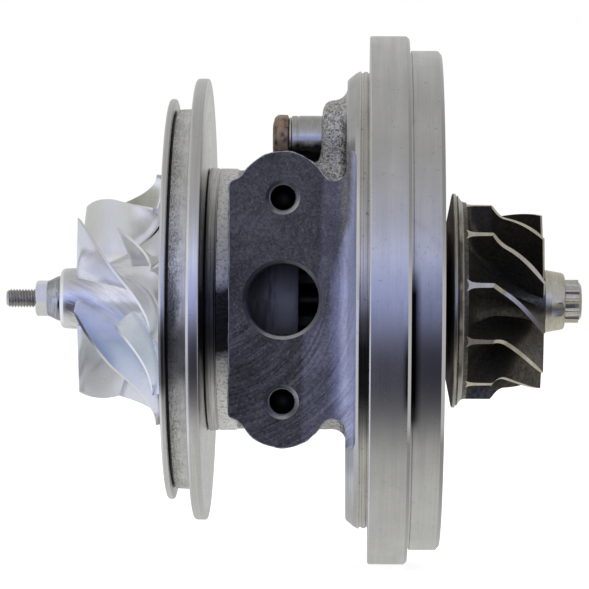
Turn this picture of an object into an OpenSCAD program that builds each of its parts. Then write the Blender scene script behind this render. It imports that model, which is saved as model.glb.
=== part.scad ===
// Turbocharger cartridge: centre housing with its rotating assembly.
// Millimetres. X runs along the shaft toward the turbine, -Y is the oil-drain side, +Z is up.
// X = 0 is the shoulder between the turbine-side clamp flange and its pilot ring.

/* [Turbine side flange] */
// Radius of the pilot ring that enters the turbine housing
pilot_r = 67.2; // [55:0.1:80]
// Length of the pilot ring
pilot_l = 8.6; // [5:0.1:14]
// Radius of the clamp flange
flange_r = 71.1; // [60:0.1:85]
// Thickness of the clamp flange
flange_t = 10.2; // [6:0.1:14]
// Radius of the stepped disc behind the clamp flange
disc_r = 61.6; // [50:0.1:70]
// Thickness of the stepped disc
disc_t = 6.2; // [4:0.1:10]
// Radius of the recess inside the pilot ring
recess_r = 60.5; // [50:0.1:64]
// Depth of the recess floor behind the shoulder
recess_d = 7; // [4:0.1:8]

/* [Centre housing] */
// Radius of the machined neck on the compressor side
neck_r = 35.5; // [30:0.1:42]
// Position of the face that carries the backplate
neck_x = -53.5; // [-60:0.1:-48]
// Radius of the cast body
body_r = 34.9; // [30:0.1:40]
// Inner radius of the oil cavity
cavity_r = 28; // [22:0.1:30]
// Outer radius of the two bearing hubs
hub_r = 12.5; // [10:0.1:16]
// Running bore of the bearing hubs, radius
bearing_bore_r = 6.06; // [5:0.01:8]

/* [Oil drain] */
// Distance of the drain face from the shaft axis
drain_y = 45; // [40:0.1:50]
// Position of the drain along the shaft
drain_x = -32.7; // [-36:0.1:-28]
// Radius of the drain bore
drain_r = 9.4; // [7:0.1:11]
// Spacing of the two tapped drain holes
drain_pitch = 52.4; // [44:0.1:60]
// Core radius of the tapped drain holes
drain_tap_r = 3.3; // [2.5:0.05:4]
// Radius of the lobes around the tapped holes
lobe_r = 11.7; // [9:0.1:14]
// Half height of the drain face between the lobes
face_half = 30.2; // [26:0.1:34]
// Left edge of the drain face
face_x0 = -46.4; // [-48:0.1:-42]
// Radius of the cutter fillet into the disc
fillet_r = 5; // [4:0.1:12]
// Position of the milled wall on the disc
wall_x = -13.8; // [-15.5:0.1:-13]

/* [Oil feed] */
// Position of the feed port along the shaft
feed_x = -29; // [-34:0.1:-24]
// Height of the feed pad from the axis
feed_y = 41; // [38:0.1:46]
// Core radius of the feed thread
feed_r = 4.5; // [3:0.05:6]

/* [Backplate] */
// Radius of the front lip of the backplate
lip_r = 54; // [46:0.1:60]
// Front face of the backplate
lip_x = -64.3; // [-68:0.1:-62]
// Thickness of the front lip
lip_t = 2.2; // [1.5:0.1:4]
// Radius of the floor of the seal groove
groove_r = 51.1; // [45:0.1:56]
// Radius of the clamp rim
rim_r = 59.5; // [52:0.1:66]
// Thickness of the clamp rim
rim_t = 3.4; // [3:0.1:6]
// Radius of the wheel recess
wheel_recess_r = 35.1; // [32:0.1:40]

/* [Compressor wheel] */
// Inducer tip radius
inducer_r = 26.9; // [22:0.1:30]
// Exducer tip radius
exducer_r = 34.5; // [30:0.1:38]
// Leading edge position
comp_le_x = -87.7; // [-92:0.1:-84]
// Exducer position at the tip
comp_te_x = -67.3; // [-70:0.1:-66]
// Full blades, with as many splitters between them
comp_blades = 6; // [5:1:8]
// Total wrap of a full blade in degrees
comp_wrap = 70; // [50:1:90]

/* [Turbine wheel] */
// Inlet tip radius
turb_in_r = 26.5; // [22:0.1:30]
// Outlet tip radius
turb_out_r = 23.5; // [20:0.1:28]
// Radius of the wheel's back disc
turb_disc_r = 28.9; // [26:0.1:32]
// Blade count
turb_blades = 11; // [9:1:12]
// Outlet turning of a blade in degrees
turb_wrap = 30; // [20:1:45]

/* [Rotor] */
// Journal radius of the shaft
journal_r = 4; // [3:0.01:6]
// Radius of the shaft's wheel end
stub_r = 2.48; // [2:0.01:3.5]
// Radial running clearance of the bearings
bearing_gap = 0.04; // [0.02:0.005:0.08]

/* [Vane crank] */
// Height of the crank axis
crank_z = 43.2; // [42:0.1:46]
// Sideways position of the crank axis
crank_y = -3; // [-10:0.1:4]
// Radius of the crank bush
crank_bush_r = 6.2; // [4.5:0.1:6.3]
// Radius of the crank spindle
crank_r = 3.2; // [2.5:0.05:4]
// Radius of the crank spindle's head
crank_head_r = 6.6; // [5:0.1:7.5]

/* [Hidden] */
$fn = 96;
disc_x = -(flange_t + disc_t);
pocket_r = 24;
pocket_x = neck_x + 5.8;
thrust_x1 = pocket_x;
thrust_x0 = pocket_x - 3;
shoulder_x = pocket_x + 1.5;
sleeve_x1 = thrust_x0 - 0.05;
sleeve_x0 = -60.5;
comp_hub_x1 = -29.3;
turb_hub_x0 = -21.7;
seal_x0 = -8.5;
seal_r = 8.25;
bush_l = 10.2;
bush_c_x = pocket_x + 3.3;
bush_t_x = turb_hub_x0 + 1.5;
screw_pcd_r = 29.6;
tip_x = -108.4;
nut_x0 = -100.3;
wheel_nose_x = -93.5;

// a profile of [radius, x] points turned about the shaft axis
module lathe(p) { rotate([0, 90, 0]) rotate_extrude() polygon(p); }
// a cylinder along the shaft from x0 to x1
module rod(r, x0, x1) { translate([x0, 0, 0]) rotate([0, 90, 0]) cylinder(r = r, h = x1 - x0); }
// a cylinder along Y from y0 to y1
module post(r, x, z, y0, y1) { translate([x, y0, z]) rotate([-90, 0, 0]) cylinder(r = r, h = y1 - y0); }
module cone_y(ra, rb, x, z, y0, y1) { translate([x, y0, z]) rotate([-90, 0, 0]) cylinder(r1 = ra, r2 = rb, h = y1 - y0); }

// ---------------------------------------------------------------- centre housing
module disc_blank() {
    lathe([[0, -17], [30, -17], [30, disc_x], [disc_r - 2.2, disc_x], [disc_r, disc_x + 2.6],
           [disc_r, -flange_t - 1.1], [disc_r - 0.6, -flange_t - 1.1], [disc_r - 0.6, -flange_t],
           [flange_r - 0.5, -flange_t], [flange_r, -flange_t + 0.5], [flange_r, -0.5], [flange_r - 0.5, 0],
           [pilot_r, 0], [pilot_r, pilot_l - 1.2], [pilot_r - 0.4, pilot_l - 0.4], [pilot_r - 1.2, pilot_l],
           [recess_r + 0.6, pilot_l], [recess_r, pilot_l - 0.6], [recess_r, -recess_d], [37, -recess_d],
           [34, -1], [27, -1], [26, -8], [15.5, -8], [14.5, -1], [12.5, -1], [12.5, 1.5], [0, 1.5]]);
}
module drain_block() {
    translate([face_x0, -62, -face_half]) cube([disc_x + 1 - face_x0, 50, 2 * face_half]);
    for (s = [-1, 1]) post(lobe_r, drain_x, s * drain_pitch / 2, -50, -16);
}
module crank_boss() {
    translate([-23.1, crank_y, crank_z]) rotate([0, 90, 0]) cylinder(r = 10.6, h = 10.4);
    translate([-23.1, crank_y - 10.6, 28]) cube([10.4, 21.2, crank_z - 28]);
}
// swept volume of the face cutter: the drain face, its fillet and the wall on the disc
module face_cut() {
    cx = wall_x - fillet_r;
    cy = -drain_y - fillet_r;
    translate([0, 0, -52]) linear_extrude(height = 104)
        polygon(concat([[-80, -drain_y]], [for (a = [90:-6:0]) [cx + fillet_r * cos(a), cy + fillet_r * sin(a)]],
                       [[wall_x, -95], [-80, -95]]));
}
module centre_housing() {
    color([0.42, 0.42, 0.45]) difference() {
        union() {
            difference() {
                union() {
                    rod(neck_r, neck_x + 1, neck_x + 7.5);
                    rod(neck_r - 0.8, neck_x, neck_x + 2);
                    rod(body_r, neck_x + 6, -13);
                    disc_blank();
                    drain_block();
                    crank_boss();
                    post(11, feed_x, 0, 20, feed_y);
                }
                face_cut();
                rod(pocket_r, neck_x - 1, pocket_x);
                rod(cavity_r, -44, -17);
            }
            rod(hub_r, -46, comp_hub_x1);
            rod(hub_r, turb_hub_x0, -15);
            translate([-46, 4, -7]) cube([32, 27, 14]);
        }
        // bearing and seal bores
        rod(9.2, pocket_x - 1, pocket_x + 2);
        rod(bearing_bore_r, pocket_x, comp_hub_x1 + 1);
        rod(bearing_bore_r, comp_hub_x1 - 1, seal_x0 + 1);
        rod(seal_r, seal_x0, 3);
        for (x = [bush_c_x - 0.9, bush_c_x + bush_l + 0.1, bush_t_x - 0.9, bush_t_x + bush_l + 0.1])
            rod(6.8, x, x + 0.8);
        // oil return from the thrust pocket
        translate([pocket_x - 1, -23, -8]) cube([6, 9.5, 16]);
        // drain bore with its chamfer
        post(drain_r, drain_x, 0, -drain_y - 1, -20);
        cone_y(drain_r + 1.1, drain_r, drain_x, 0, -drain_y - 0.45, -drain_y + 0.65);
        // tapped drain holes with countersinks
        for (s = [-1, 1]) {
            post(drain_tap_r, drain_x, s * drain_pitch / 2, -drain_y - 1, -drain_y + 17);
            cone_y(drain_tap_r + 1.75, drain_tap_r, drain_x, s * drain_pitch / 2, -drain_y - 0.4, -drain_y + 1.35);
        }
        // oil feed
        post(feed_r, feed_x, 0, feed_y - 13, feed_y + 1);
        cone_y(feed_r, feed_r + 1.4, feed_x, 0, feed_y - 1, feed_y + 0.4);
        for (t = [bush_c_x + bush_l / 2, bush_t_x + bush_l / 2])
            translate([t, 5, 0]) rotate([-90, 0, 0]) rotate([0, atan((feed_x - t) / (feed_y - 17)), 0]) cylinder(r = 1.5, h = 26);
        // crank bush bore
        translate([-30, crank_y, crank_z]) rotate([0, 90, 0]) cylinder(r = crank_bush_r, h = 23.2);
        // backplate screw holes
        for (a = [45:90:315]) rotate([a, 0, 0]) translate([0, 0, screw_pcd_r]) rod(2.5, neck_x - 1, neck_x + 9);
    }
}

// ---------------------------------------------------------------- compressor backplate
module compressor_backplate() {
    color([0.62, 0.62, 0.64]) difference() {
        lathe([[7.65, -60.1], [10, -60.1], [wheel_recess_r, -62.6], [wheel_recess_r, lip_x + 0.3], [wheel_recess_r + 0.3, lip_x],
               [lip_r - 0.7, lip_x], [lip_r, lip_x + 0.7], [lip_r, lip_x + lip_t - 0.4], [lip_r - 0.4, lip_x + lip_t],
               [groove_r, lip_x + lip_t], [groove_r, neck_x - rim_t + 0.3], [lip_r + 0.3, neck_x - rim_t + 0.3], [lip_r + 0.3, neck_x - rim_t],
               [rim_r - 1, neck_x - rim_t], [rim_r, neck_x - rim_t + 1],
               [rim_r, neck_x - 0.4], [rim_r - 0.4, neck_x], [23.95, neck_x], [23.95, neck_x + 1.1], [22.5, neck_x + 1.1],
               [22.5, neck_x + 2.9], [23.95, neck_x + 2.9], [23.95, neck_x + 3.6], [23.65, neck_x + 3.9], [18.2, neck_x + 3.9],
               [18.2, neck_x - 2], [7.65, neck_x - 2]]);
        for (a = [45:90:315]) rotate([a, 0, 0]) translate([0, 0, screw_pcd_r]) {
            rod(2.75, -64, neck_x + 1);
            rod(4.8, -64, -61.5);
            translate([-61.5, 0, 0]) rotate([0, 90, 0]) cylinder(r1 = 4.8, r2 = 2.75, h = 2.05);
        }
    }
}
module backplate_oring() {
    color([0.08, 0.08, 0.08]) rotate([0, 90, 0]) rotate_extrude() translate([23.23, neck_x + 2]) circle(r = 0.73, $fn = 48);
}
module backplate_screws() {
    color([0.3, 0.3, 0.32]) for (a = [45:90:315]) rotate([a, 0, 0]) translate([0, 0, screw_pcd_r]) difference() {
        lathe([[0, -61.5], [4.75, -61.5], [2.45, -59.2], [2.45, neck_x + 7.6], [2.05, neck_x + 8], [0, neck_x + 8]]);
        translate([-62, 0, 0]) rotate([0, 90, 0]) cylinder(r = 1.73, h = 2.3, $fn = 6);
    }
}

// ---------------------------------------------------------------- heat shield
module heat_shield() {
    color([0.5, 0.46, 0.42]) lathe([[33.6, -1], [33.6, 0.2], [28, 0.2], [27.2, 0.5], [20.6, 6.6], [19.6, 7], [9.6, 7], [9.6, 5.8],
                                    [19.2, 5.8], [26.6, -0.6], [27.5, -1]]);
}

// ---------------------------------------------------------------- wheels
// theta is measured from +Z toward -Y
function polar(x, r, t) = [x, -r * sin(t), r * cos(t)];
function unit(v) = v / norm(v);
function mixv(a, b, s) = a + (b - a) * s;

// compressor: meridional stations m = 0 (leading edge) .. 1 (exducer), s = 0 hub .. 1 tip
function c_hub(m) = [comp_le_x - 1.3 + (comp_te_x + 2.8 - comp_le_x + 1.3) * sin(90 * m), exducer_r - (exducer_r - 8.3) * cos(90 * m)];
function c_tip(m) = m < 0.4 ? [comp_le_x + 9.7 * m / 0.4, inducer_r]
    : [comp_le_x + 9.7 + (comp_te_x - comp_le_x - 9.7) * sin(150 * (m - 0.4)), exducer_r - (exducer_r - inducer_r) * cos(150 * (m - 0.4))];
function c_theta(m) = comp_wrap * (1.45 * m - 0.45 * m * m);
function c_pt(m, s) = let(p = mixv(c_hub(m) - [0, 0.8], c_tip(m), s)) polar(p[0], p[1], c_theta(m));
// turbine: stations from inlet to outlet
function t_hub(m) = [15.7 + 20.8 * (1 - cos(90 * m)), turb_in_r - (turb_in_r - 8.6) * sin(90 * m)];
function t_tip(m) = let(x = 22.3 + 13.4 * m, k = max(0, 1 - (x - 22.3) / 3.7)) [x, turb_out_r + (turb_in_r - turb_out_r) * k * k];
function t_theta(x) = let(u = max(0, (x - 22.3) / 13.4)) turb_wrap * (0.45 * u + 0.55 * u * u);
function t_pt(m, s) = let(p = mixv(t_hub(m) - [m < 0.5 ? 0.7 : 0, m < 0.5 ? 0 : 0.8], t_tip(m), s)) polar(p[0], p[1], t_theta(p[0]));

function b_pt(kind, m, s) = kind == 0 ? c_pt(m, s) : t_pt(m, s);
function b_half(kind, s) = kind == 0 ? 0.75 - 0.37 * s : 1.0 - 0.5 * s;
function b_side(kind, m, s, d) = let(e = 0.01, a = b_pt(kind, min(1, m + e), s) - b_pt(kind, max(0, m - e), s),
    b = b_pt(kind, m, s + e) - b_pt(kind, m, s - e)) b_pt(kind, m, s) + d * b_half(kind, s) * unit(cross(a, b));
module blade(kind, m0, nm, ns) {
    for (i = [0:nm - 1], j = [0:ns - 1])
        let(ma = m0 + (1 - m0) * i / nm, mb = m0 + (1 - m0) * (i + 1) / nm, sa = j / ns, sb = (j + 1) / ns)
        hull() polyhedron([for (m = [ma, mb], s = [sa, sb], d = [-1, 1]) b_side(kind, m, s, d)],
                          [[0, 1, 3, 2], [4, 6, 7, 5], [0, 4, 5, 1], [2, 3, 7, 6], [0, 2, 6, 4], [1, 5, 7, 3]]);
}

module compressor_wheel() {
    color([0.8, 0.8, 0.82]) union() {
        lathe(concat([[2.5, wheel_nose_x], [7.2, wheel_nose_x], [7.9, wheel_nose_x + 0.5], [8.1, wheel_nose_x + 1.3], [8.2, comp_le_x - 2]],
                     [for (i = [0:7]) let(p = c_hub(i / 7)) [p[1], p[0]]],
                     [[exducer_r, -63.3], [12, -61.1], [7.2, -60.5], [2.5, -60.5]]), $fn = 40);
        for (k = [0:comp_blades - 1]) {
            rotate([37.5 + 360 / comp_blades * k, 0, 0]) blade(0, 0, 8, 1);
            rotate([37.5 + 360 / comp_blades * (k + 0.5), 0, 0]) blade(0, 0.43, 5, 1);
        }
    }
}
module turbine_wheel() {
    color([0.2, 0.18, 0.17]) union() {
        lathe(concat([[0, 6], [8, 6], [8, 7.4], [9.5, 8.6], [20, 10.2], [turb_disc_r, 11.6], [turb_disc_r, 12.4], [27.9, 13.4], [27, 15]],
                     [for (i = [0:9]) let(p = t_hub(i / 9)) [p[1], p[0]]],
                     [[8.4, 37.3], [7.6, 41.4], [7, 42.2], [5.2, 42.5], [5.2, 46.3], [4.4, 46.8], [0, 46.8]]), $fn = 48);
        for (k = [0:turb_blades - 1]) rotate([48.5 + 360 / turb_blades * k, 0, 0]) blade(1, 0, 7, 2);
        for (a = [0, 30]) translate([42.2, 0, 0]) rotate([a, 0, 0]) rotate([0, 90, 0]) cylinder(r = 5.75, h = 4.2, $fn = 6);
    }
}

// ---------------------------------------------------------------- rotor
module shaft() {
    color([0.6, 0.6, 0.62]) lathe([[0, tip_x], [1.9, tip_x], [stub_r, tip_x + 0.6], [stub_r, shoulder_x], [journal_r - 0.2, shoulder_x],
        [journal_r, shoulder_x + 0.2], [journal_r, -33], [3.6, -32.6], [3.6, -22.4], [journal_r, -22], [journal_r, -8.6], [4.6, -8], [7.6, -8], [8, -7.6],
        [8, -4.7], [6.5, -4.7], [6.5, -3], [8, -3], [8, 6], [0, 6]]);
}
module shaft_nut() {
    color([0.7, 0.72, 0.76]) difference() {
        union() {
            intersection() {
                translate([nut_x0, 0, 0]) rotate([0, 90, 0]) cylinder(r = 5.02, h = 3.6, $fn = 6);
                lathe([[0, nut_x0], [4.3, nut_x0], [5.2, nut_x0 + 0.6], [5.2, nut_x0 + 4], [0, nut_x0 + 4]]);
            }
            lathe([[0, nut_x0 + 3.4], [4.9, nut_x0 + 3.4], [6, wheel_nose_x - 1], [6, wheel_nose_x], [0, wheel_nose_x]]);
        }
        rod(stub_r + 0.02, nut_x0 - 1, wheel_nose_x + 1);
    }
}
module sealing_sleeve() {
    color([0.55, 0.55, 0.58]) lathe([[2.5, sleeve_x0], [7.2, sleeve_x0], [7.5, sleeve_x0 + 0.3], [7.5, -58.6], [5.9, -58.6], [5.9, -57], [7.5, -57],
        [7.5, sleeve_x1 - 1.5], [8.4, sleeve_x1 - 1.3], [8.4, sleeve_x1], [2.5, sleeve_x1]]);
}
module thrust_collar() {
    color([0.58, 0.58, 0.6]) lathe([[2.5, sleeve_x1], [5.2, sleeve_x1], [5.2, thrust_x1 + 0.05], [8.4, thrust_x1 + 0.05], [8.4, shoulder_x], [2.5, shoulder_x]]);
}

// ---------------------------------------------------------------- bearings and seals
module thrust_bearing() {
    color([0.7, 0.5, 0.25]) difference() {
        lathe([[5.4, thrust_x0], [17.2, thrust_x0], [17.5, thrust_x0 + 0.3], [17.5, thrust_x1], [5.4, thrust_x1]]);
        translate([thrust_x0 - 1, -20, -5]) cube([5, 9.5, 10]);
        for (a = [60, 300]) rotate([a, 0, 0]) translate([0, 0, 13]) rod(1.5, thrust_x0 - 1, thrust_x1 + 1);
    }
}
module thrust_pins() {
    color([0.5, 0.5, 0.52]) for (a = [60, 300]) rotate([a, 0, 0]) translate([0, 0, 13]) rod(1.48, thrust_x0 - 0.55, thrust_x1);
}
module oil_deflector() {
    color([0.55, 0.55, 0.52]) difference() {
        union() {
            lathe([[9, thrust_x0 - 0.6], [17.5, thrust_x0 - 0.6], [17.5, thrust_x0], [9, thrust_x0]]);
            translate([thrust_x0 - 1.6, -15.6, -6]) cube([1.2, 0.6, 12]);
        }
        for (a = [60, 300]) rotate([a, 0, 0]) translate([0, 0, 13]) rod(1.5, thrust_x0 - 1, thrust_x1 + 1);
    }
}
module journal(x) {
    difference() {
        lathe([[journal_r + bearing_gap, x], [5.7, x], [6, x + 0.3], [6, x + bush_l - 0.3], [5.7, x + bush_l], [journal_r + bearing_gap, x + bush_l]]);
        for (a = [0:60:300]) rotate([a, 0, 0]) post(1, x + bush_l / 2, 0, 3, 7);
    }
}
module journal_bush_compressor() { color([0.72, 0.55, 0.28]) journal(bush_c_x); }
module journal_bush_turbine() { color([0.72, 0.55, 0.28]) journal(bush_t_x); }
module bush_circlips() {
    color([0.35, 0.35, 0.37]) for (x = [bush_c_x - 0.85, bush_c_x + bush_l + 0.15, bush_t_x - 0.85, bush_t_x + bush_l + 0.15])
        difference() {
            lathe([[5.1, x], [6.75, x], [6.75, x + 0.7], [5.1, x + 0.7]]);
            translate([x - 1, -1.5, -9]) cube([3, 3, 6]);
        }
}
module ring_with_gap(ri, ro, x0, x1) {
    difference() {
        lathe([[ri, x0], [ro, x0], [ro, x1], [ri, x1]]);
        translate([x0 - 1, -0.15, ri - 1]) cube([x1 - x0 + 2, 0.3, 4]);
    }
}
module turbine_seal_ring() { color([0.4, 0.4, 0.42]) ring_with_gap(6.8, seal_r - 0.01, -4.55, -3.15); }
module compressor_seal_ring() { color([0.4, 0.4, 0.42]) ring_with_gap(6.2, 7.64, -58.45, -57.15); }

// ---------------------------------------------------------------- vane crank
module crank_turn(p) { translate([0, crank_y, crank_z]) lathe(p); }
module vane_crank_bush() {
    color([0.65, 0.65, 0.66]) crank_turn([[crank_r + 0.04, -32.1], [crank_bush_r - 0.3, -32.1], [crank_bush_r, -31.8], [crank_bush_r, -23.1],
        [crank_bush_r - 0.01, -23.1], [crank_bush_r - 0.01, -7], [crank_r + 0.04, -7]]);
}
module vane_crank_shaft() {
    color([0.45, 0.36, 0.27]) crank_turn([[0, -36.5], [4, -36.4], [crank_head_r - 0.7, -35.9], [crank_head_r, -35.2], [crank_head_r, -32.6], [crank_head_r - 0.4, -32.2],
        [crank_r, -32.2], [crank_r, -6.9], [2.8, -6.9], [2.8, -2.6], [0, -2.6]]);
}
module vane_crank_arm() {
    color([0.4, 0.36, 0.33]) translate([0, crank_y, crank_z]) difference() {
        union() {
            rod(5.6, -6.9, -2.6);
            translate([0, 0, 10.6]) rod(3.4, -6.4, -3);
            translate([-6.4, -3, 0]) cube([3.4, 6, 10.6]);
            translate([0, 0, 10.6]) rod(2.4, -4, 2.4);
        }
        rod(2.81, -8, 0);
    }
}

centre_housing();
compressor_backplate();
backplate_oring();
backplate_screws();
heat_shield();
compressor_wheel();
shaft_nut();
shaft();
turbine_wheel();
turbine_seal_ring();
compressor_seal_ring();
sealing_sleeve();
thrust_collar();
thrust_bearing();
thrust_pins();
oil_deflector();
journal_bush_compressor();
journal_bush_turbine();
bush_circlips();
vane_crank_bush();
vane_crank_shaft();
vane_crank_arm();
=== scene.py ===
import math

import bpy
import numpy as np
from mathutils import Matrix, Vector


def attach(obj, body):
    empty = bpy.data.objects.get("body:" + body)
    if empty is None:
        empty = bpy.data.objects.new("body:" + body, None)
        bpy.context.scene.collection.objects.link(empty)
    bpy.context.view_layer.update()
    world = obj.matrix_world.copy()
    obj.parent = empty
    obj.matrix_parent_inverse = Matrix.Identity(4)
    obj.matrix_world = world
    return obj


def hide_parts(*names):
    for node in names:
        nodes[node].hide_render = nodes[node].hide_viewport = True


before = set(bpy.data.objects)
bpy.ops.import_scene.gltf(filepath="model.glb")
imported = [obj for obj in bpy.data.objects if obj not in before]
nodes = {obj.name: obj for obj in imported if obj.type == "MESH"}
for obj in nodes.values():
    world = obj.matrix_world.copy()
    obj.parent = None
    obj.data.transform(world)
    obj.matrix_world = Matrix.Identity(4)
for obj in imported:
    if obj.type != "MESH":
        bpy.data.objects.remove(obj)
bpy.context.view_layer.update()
MM = 0.001
RNG = np.random.default_rng(11)
scene = bpy.context.scene


# ------------------------------------------------------------------ camera
def make_camera():
    cam = bpy.data.cameras.new("camera")
    cam.sensor_width = 36.0
    cam.lens = 191.1
    cam.clip_start = 0.01
    cam.clip_end = 20.0
    ob = bpy.data.objects.new("camera", cam)
    scene.collection.objects.link(ob)
    ob.location = Vector((-13.8, -845.0, 0.0)) * MM
    aim = Vector((-30.46, 0.0, 1.4)) * MM - ob.location
    ob.rotation_euler = (aim.to_track_quat("-Z", "Y") @ Matrix.Rotation(math.radians(0.34), 3, "Z").to_quaternion()).to_euler()
    scene.camera = ob


make_camera()
scene.view_settings.view_transform = "Standard"


# ------------------------------------------------------------------ material helpers
class Graph:
    def __init__(self, name):
        self.mat = bpy.data.materials.new(name)
        self.mat.use_nodes = True
        self.t = self.mat.node_tree
        self.bsdf = self.t.nodes["Principled BSDF"]
        self.tc = self.t.nodes.new("ShaderNodeTexCoord")

    def node(self, kind, **kw):
        n = self.t.nodes.new(kind)
        for k, v in kw.items():
            setattr(n, k, v)
        return n

    def link(self, a, b):
        self.t.links.new(a, b)

    def math(self, op, a, b=None, clamp=False):
        n = self.node("ShaderNodeMath", operation=op, use_clamp=clamp)
        for i, x in enumerate((a, b)):
            if x is None:
                continue
            if isinstance(x, (int, float)):
                n.inputs[i].default_value = x
            else:
                self.link(x, n.inputs[i])
        return n.outputs[0]

    def noise(self, scale, detail=4.0, rough=0.55, vec=None, dist=0.0):
        n = self.node("ShaderNodeTexNoise")
        n.inputs["Scale"].default_value = scale
        n.inputs["Detail"].default_value = detail
        n.inputs["Roughness"].default_value = rough
        n.inputs["Distortion"].default_value = dist
        self.link(vec if vec is not None else self.tc.outputs["Object"], n.inputs["Vector"])
        return n.outputs["Fac"]

    def voronoi(self, scale, vec=None, feature="F1"):
        n = self.node("ShaderNodeTexVoronoi", feature=feature)
        n.inputs["Scale"].default_value = scale
        self.link(vec if vec is not None else self.tc.outputs["Object"], n.inputs["Vector"])
        return n.outputs["Distance"]

    def ramp(self, fac, stops, interp="LINEAR"):
        n = self.node("ShaderNodeValToRGB")
        n.color_ramp.interpolation = interp
        e = n.color_ramp.elements
        while len(e) < len(stops):
            e.new(0.5)
        for el, (p, c) in zip(e, stops):
            el.position = p
            el.color = (c, c, c, 1) if isinstance(c, (int, float)) else (*c, 1)
        self.link(fac, n.inputs["Fac"])
        return n.outputs["Color"]

    def mix(self, fac, a, b, blend="MIX"):
        n = self.node("ShaderNodeMix", data_type="RGBA", blend_type=blend)
        for sock, x in ((n.inputs["Factor"], fac), (n.inputs["A"], a), (n.inputs["B"], b)):
            if isinstance(x, (int, float)):
                sock.default_value = x
            elif isinstance(x, tuple):
                sock.default_value = (*x, 1)
            else:
                self.link(x, sock)
        return n.outputs["Result"]

    def bump(self, height, strength, dist=0.0002, normal=None):
        n = self.node("ShaderNodeBump")
        n.inputs["Strength"].default_value = strength
        n.inputs["Distance"].default_value = dist
        self.link(height, n.inputs["Height"])
        if normal is not None:
            self.link(normal, n.inputs["Normal"])
        return n.outputs["Normal"]

    def turned(self, sx, sr, sa, offset=(0.0, 0.0)):
        """coordinates of a turned face: along the axis, radius, angle"""
        sep = self.node("ShaderNodeSeparateXYZ")
        self.link(self.tc.outputs["Object"], sep.inputs[0])
        y = self.math("SUBTRACT", sep.outputs["Y"], offset[0])
        z = self.math("SUBTRACT", sep.outputs["Z"], offset[1])
        r = self.math("SQRT", self.math("ADD", self.math("MULTIPLY", y, y), self.math("MULTIPLY", z, z)))
        a = self.math("ARCTAN2", z, y)
        com = self.node("ShaderNodeCombineXYZ")
        self.link(self.math("MULTIPLY", sep.outputs["X"], sx), com.inputs[0])
        self.link(self.math("MULTIPLY", r, sr), com.inputs[1])
        self.link(self.math("MULTIPLY", a, sa), com.inputs[2])
        return com.outputs[0]

    def by_height(self, lo, hi, stops):
        """grey factor from the height in mm, for painted shade and painted highlight bands that darken or lighten one
        side of a face
        """
        sep = self.node("ShaderNodeSeparateXYZ")
        self.link(self.tc.outputs["Object"], sep.inputs[0])
        wob = self.math("MULTIPLY", self.math("SUBTRACT", self.noise(160.0, 3.0), 0.5), 0.004)
        f = self.math("DIVIDE", self.math("SUBTRACT", self.math("ADD", sep.outputs["Z"], wob), lo * MM), (hi - lo) * MM)
        return self.ramp(f, [((z - lo) / (hi - lo), v) for z, v in stops])

    def out(self, color=None, rough=None, normal=None, metallic=1.0):
        b = self.bsdf
        b.inputs["Metallic"].default_value = metallic
        for sock, x in (("Base Color", color), ("Roughness", rough)):
            if x is None:
                continue
            if isinstance(x, (int, float)):
                b.inputs[sock].default_value = x
            elif isinstance(x, tuple):
                b.inputs[sock].default_value = (*x, 1)
            else:
                self.link(x, b.inputs[sock])
        if normal is not None:
            self.link(normal, b.inputs["Normal"])
        return self.mat


def turned_metal(name, light, dark, rough=(0.24, 0.4), lines=0.35, grain=0.3, aniso=0.0, offset=(0.0, 0.0), stain=None, height=None, fine_w=0.45, corner=None):
    """turned steel or aluminium: circumferential tool lines, fine pits, faint stains"""
    g = Graph(name)
    fine = g.noise(1.0, 3.0, 0.6, g.turned(2600, 2600, 3.0, offset))
    broad = g.noise(1.0, 2.0, 0.5, g.turned(420, 420, 1.2, offset))
    cloud = g.noise(70.0, 5.0, 0.6)
    pits = g.ramp(g.noise(900.0, 3.0, 0.65), [(0.30, 1.0), (0.36, 0.0)])
    tone = g.math("ADD", g.math("MULTIPLY", fine, fine_w), g.math("ADD", g.math("MULTIPLY", broad, 0.3), g.math("MULTIPLY", cloud, 0.7 - fine_w)))
    col = g.ramp(tone, [(0.34, dark), (0.66, light)])
    col = g.mix(g.math("MULTIPLY", pits, grain), col, tuple(c * 0.45 for c in dark))
    if stain:
        spots = g.ramp(g.noise(45.0, 6.0, 0.7, dist=0.6), [(0.6, 0.0), (0.72, 1.0)])
        col = g.mix(g.math("MULTIPLY", spots, 0.35), col, stain)
    # height: painted shade and painted highlight, the face made darker or lighter in bands by height
    if height:
        col = g.mix(1.0, col, g.by_height(*height), "MULTIPLY")
    # corner: painted shade, the face turned near-black along a short run of X beside a step, within a band of heights
    if corner:
        sep = g.node("ShaderNodeSeparateXYZ")
        g.link(g.tc.outputs["Object"], sep.inputs[0])
        near = g.math("DIVIDE", g.math("SUBTRACT", sep.outputs["X"], corner[0] * MM), (corner[1] - corner[0]) * MM, True)
        col = g.mix(g.math("MULTIPLY", near, g.by_height(*corner[2])), col, (0.006, 0.006, 0.008))
    ro = g.ramp(tone, [(0.3, rough[1]), (0.7, rough[0])])
    n = g.bump(fine, lines, 0.00004)
    n = g.bump(pits, grain * 0.6, -0.00006, n)
    g.bsdf.inputs["Anisotropic"].default_value = aniso
    return g.out(col, ro, n)


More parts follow.
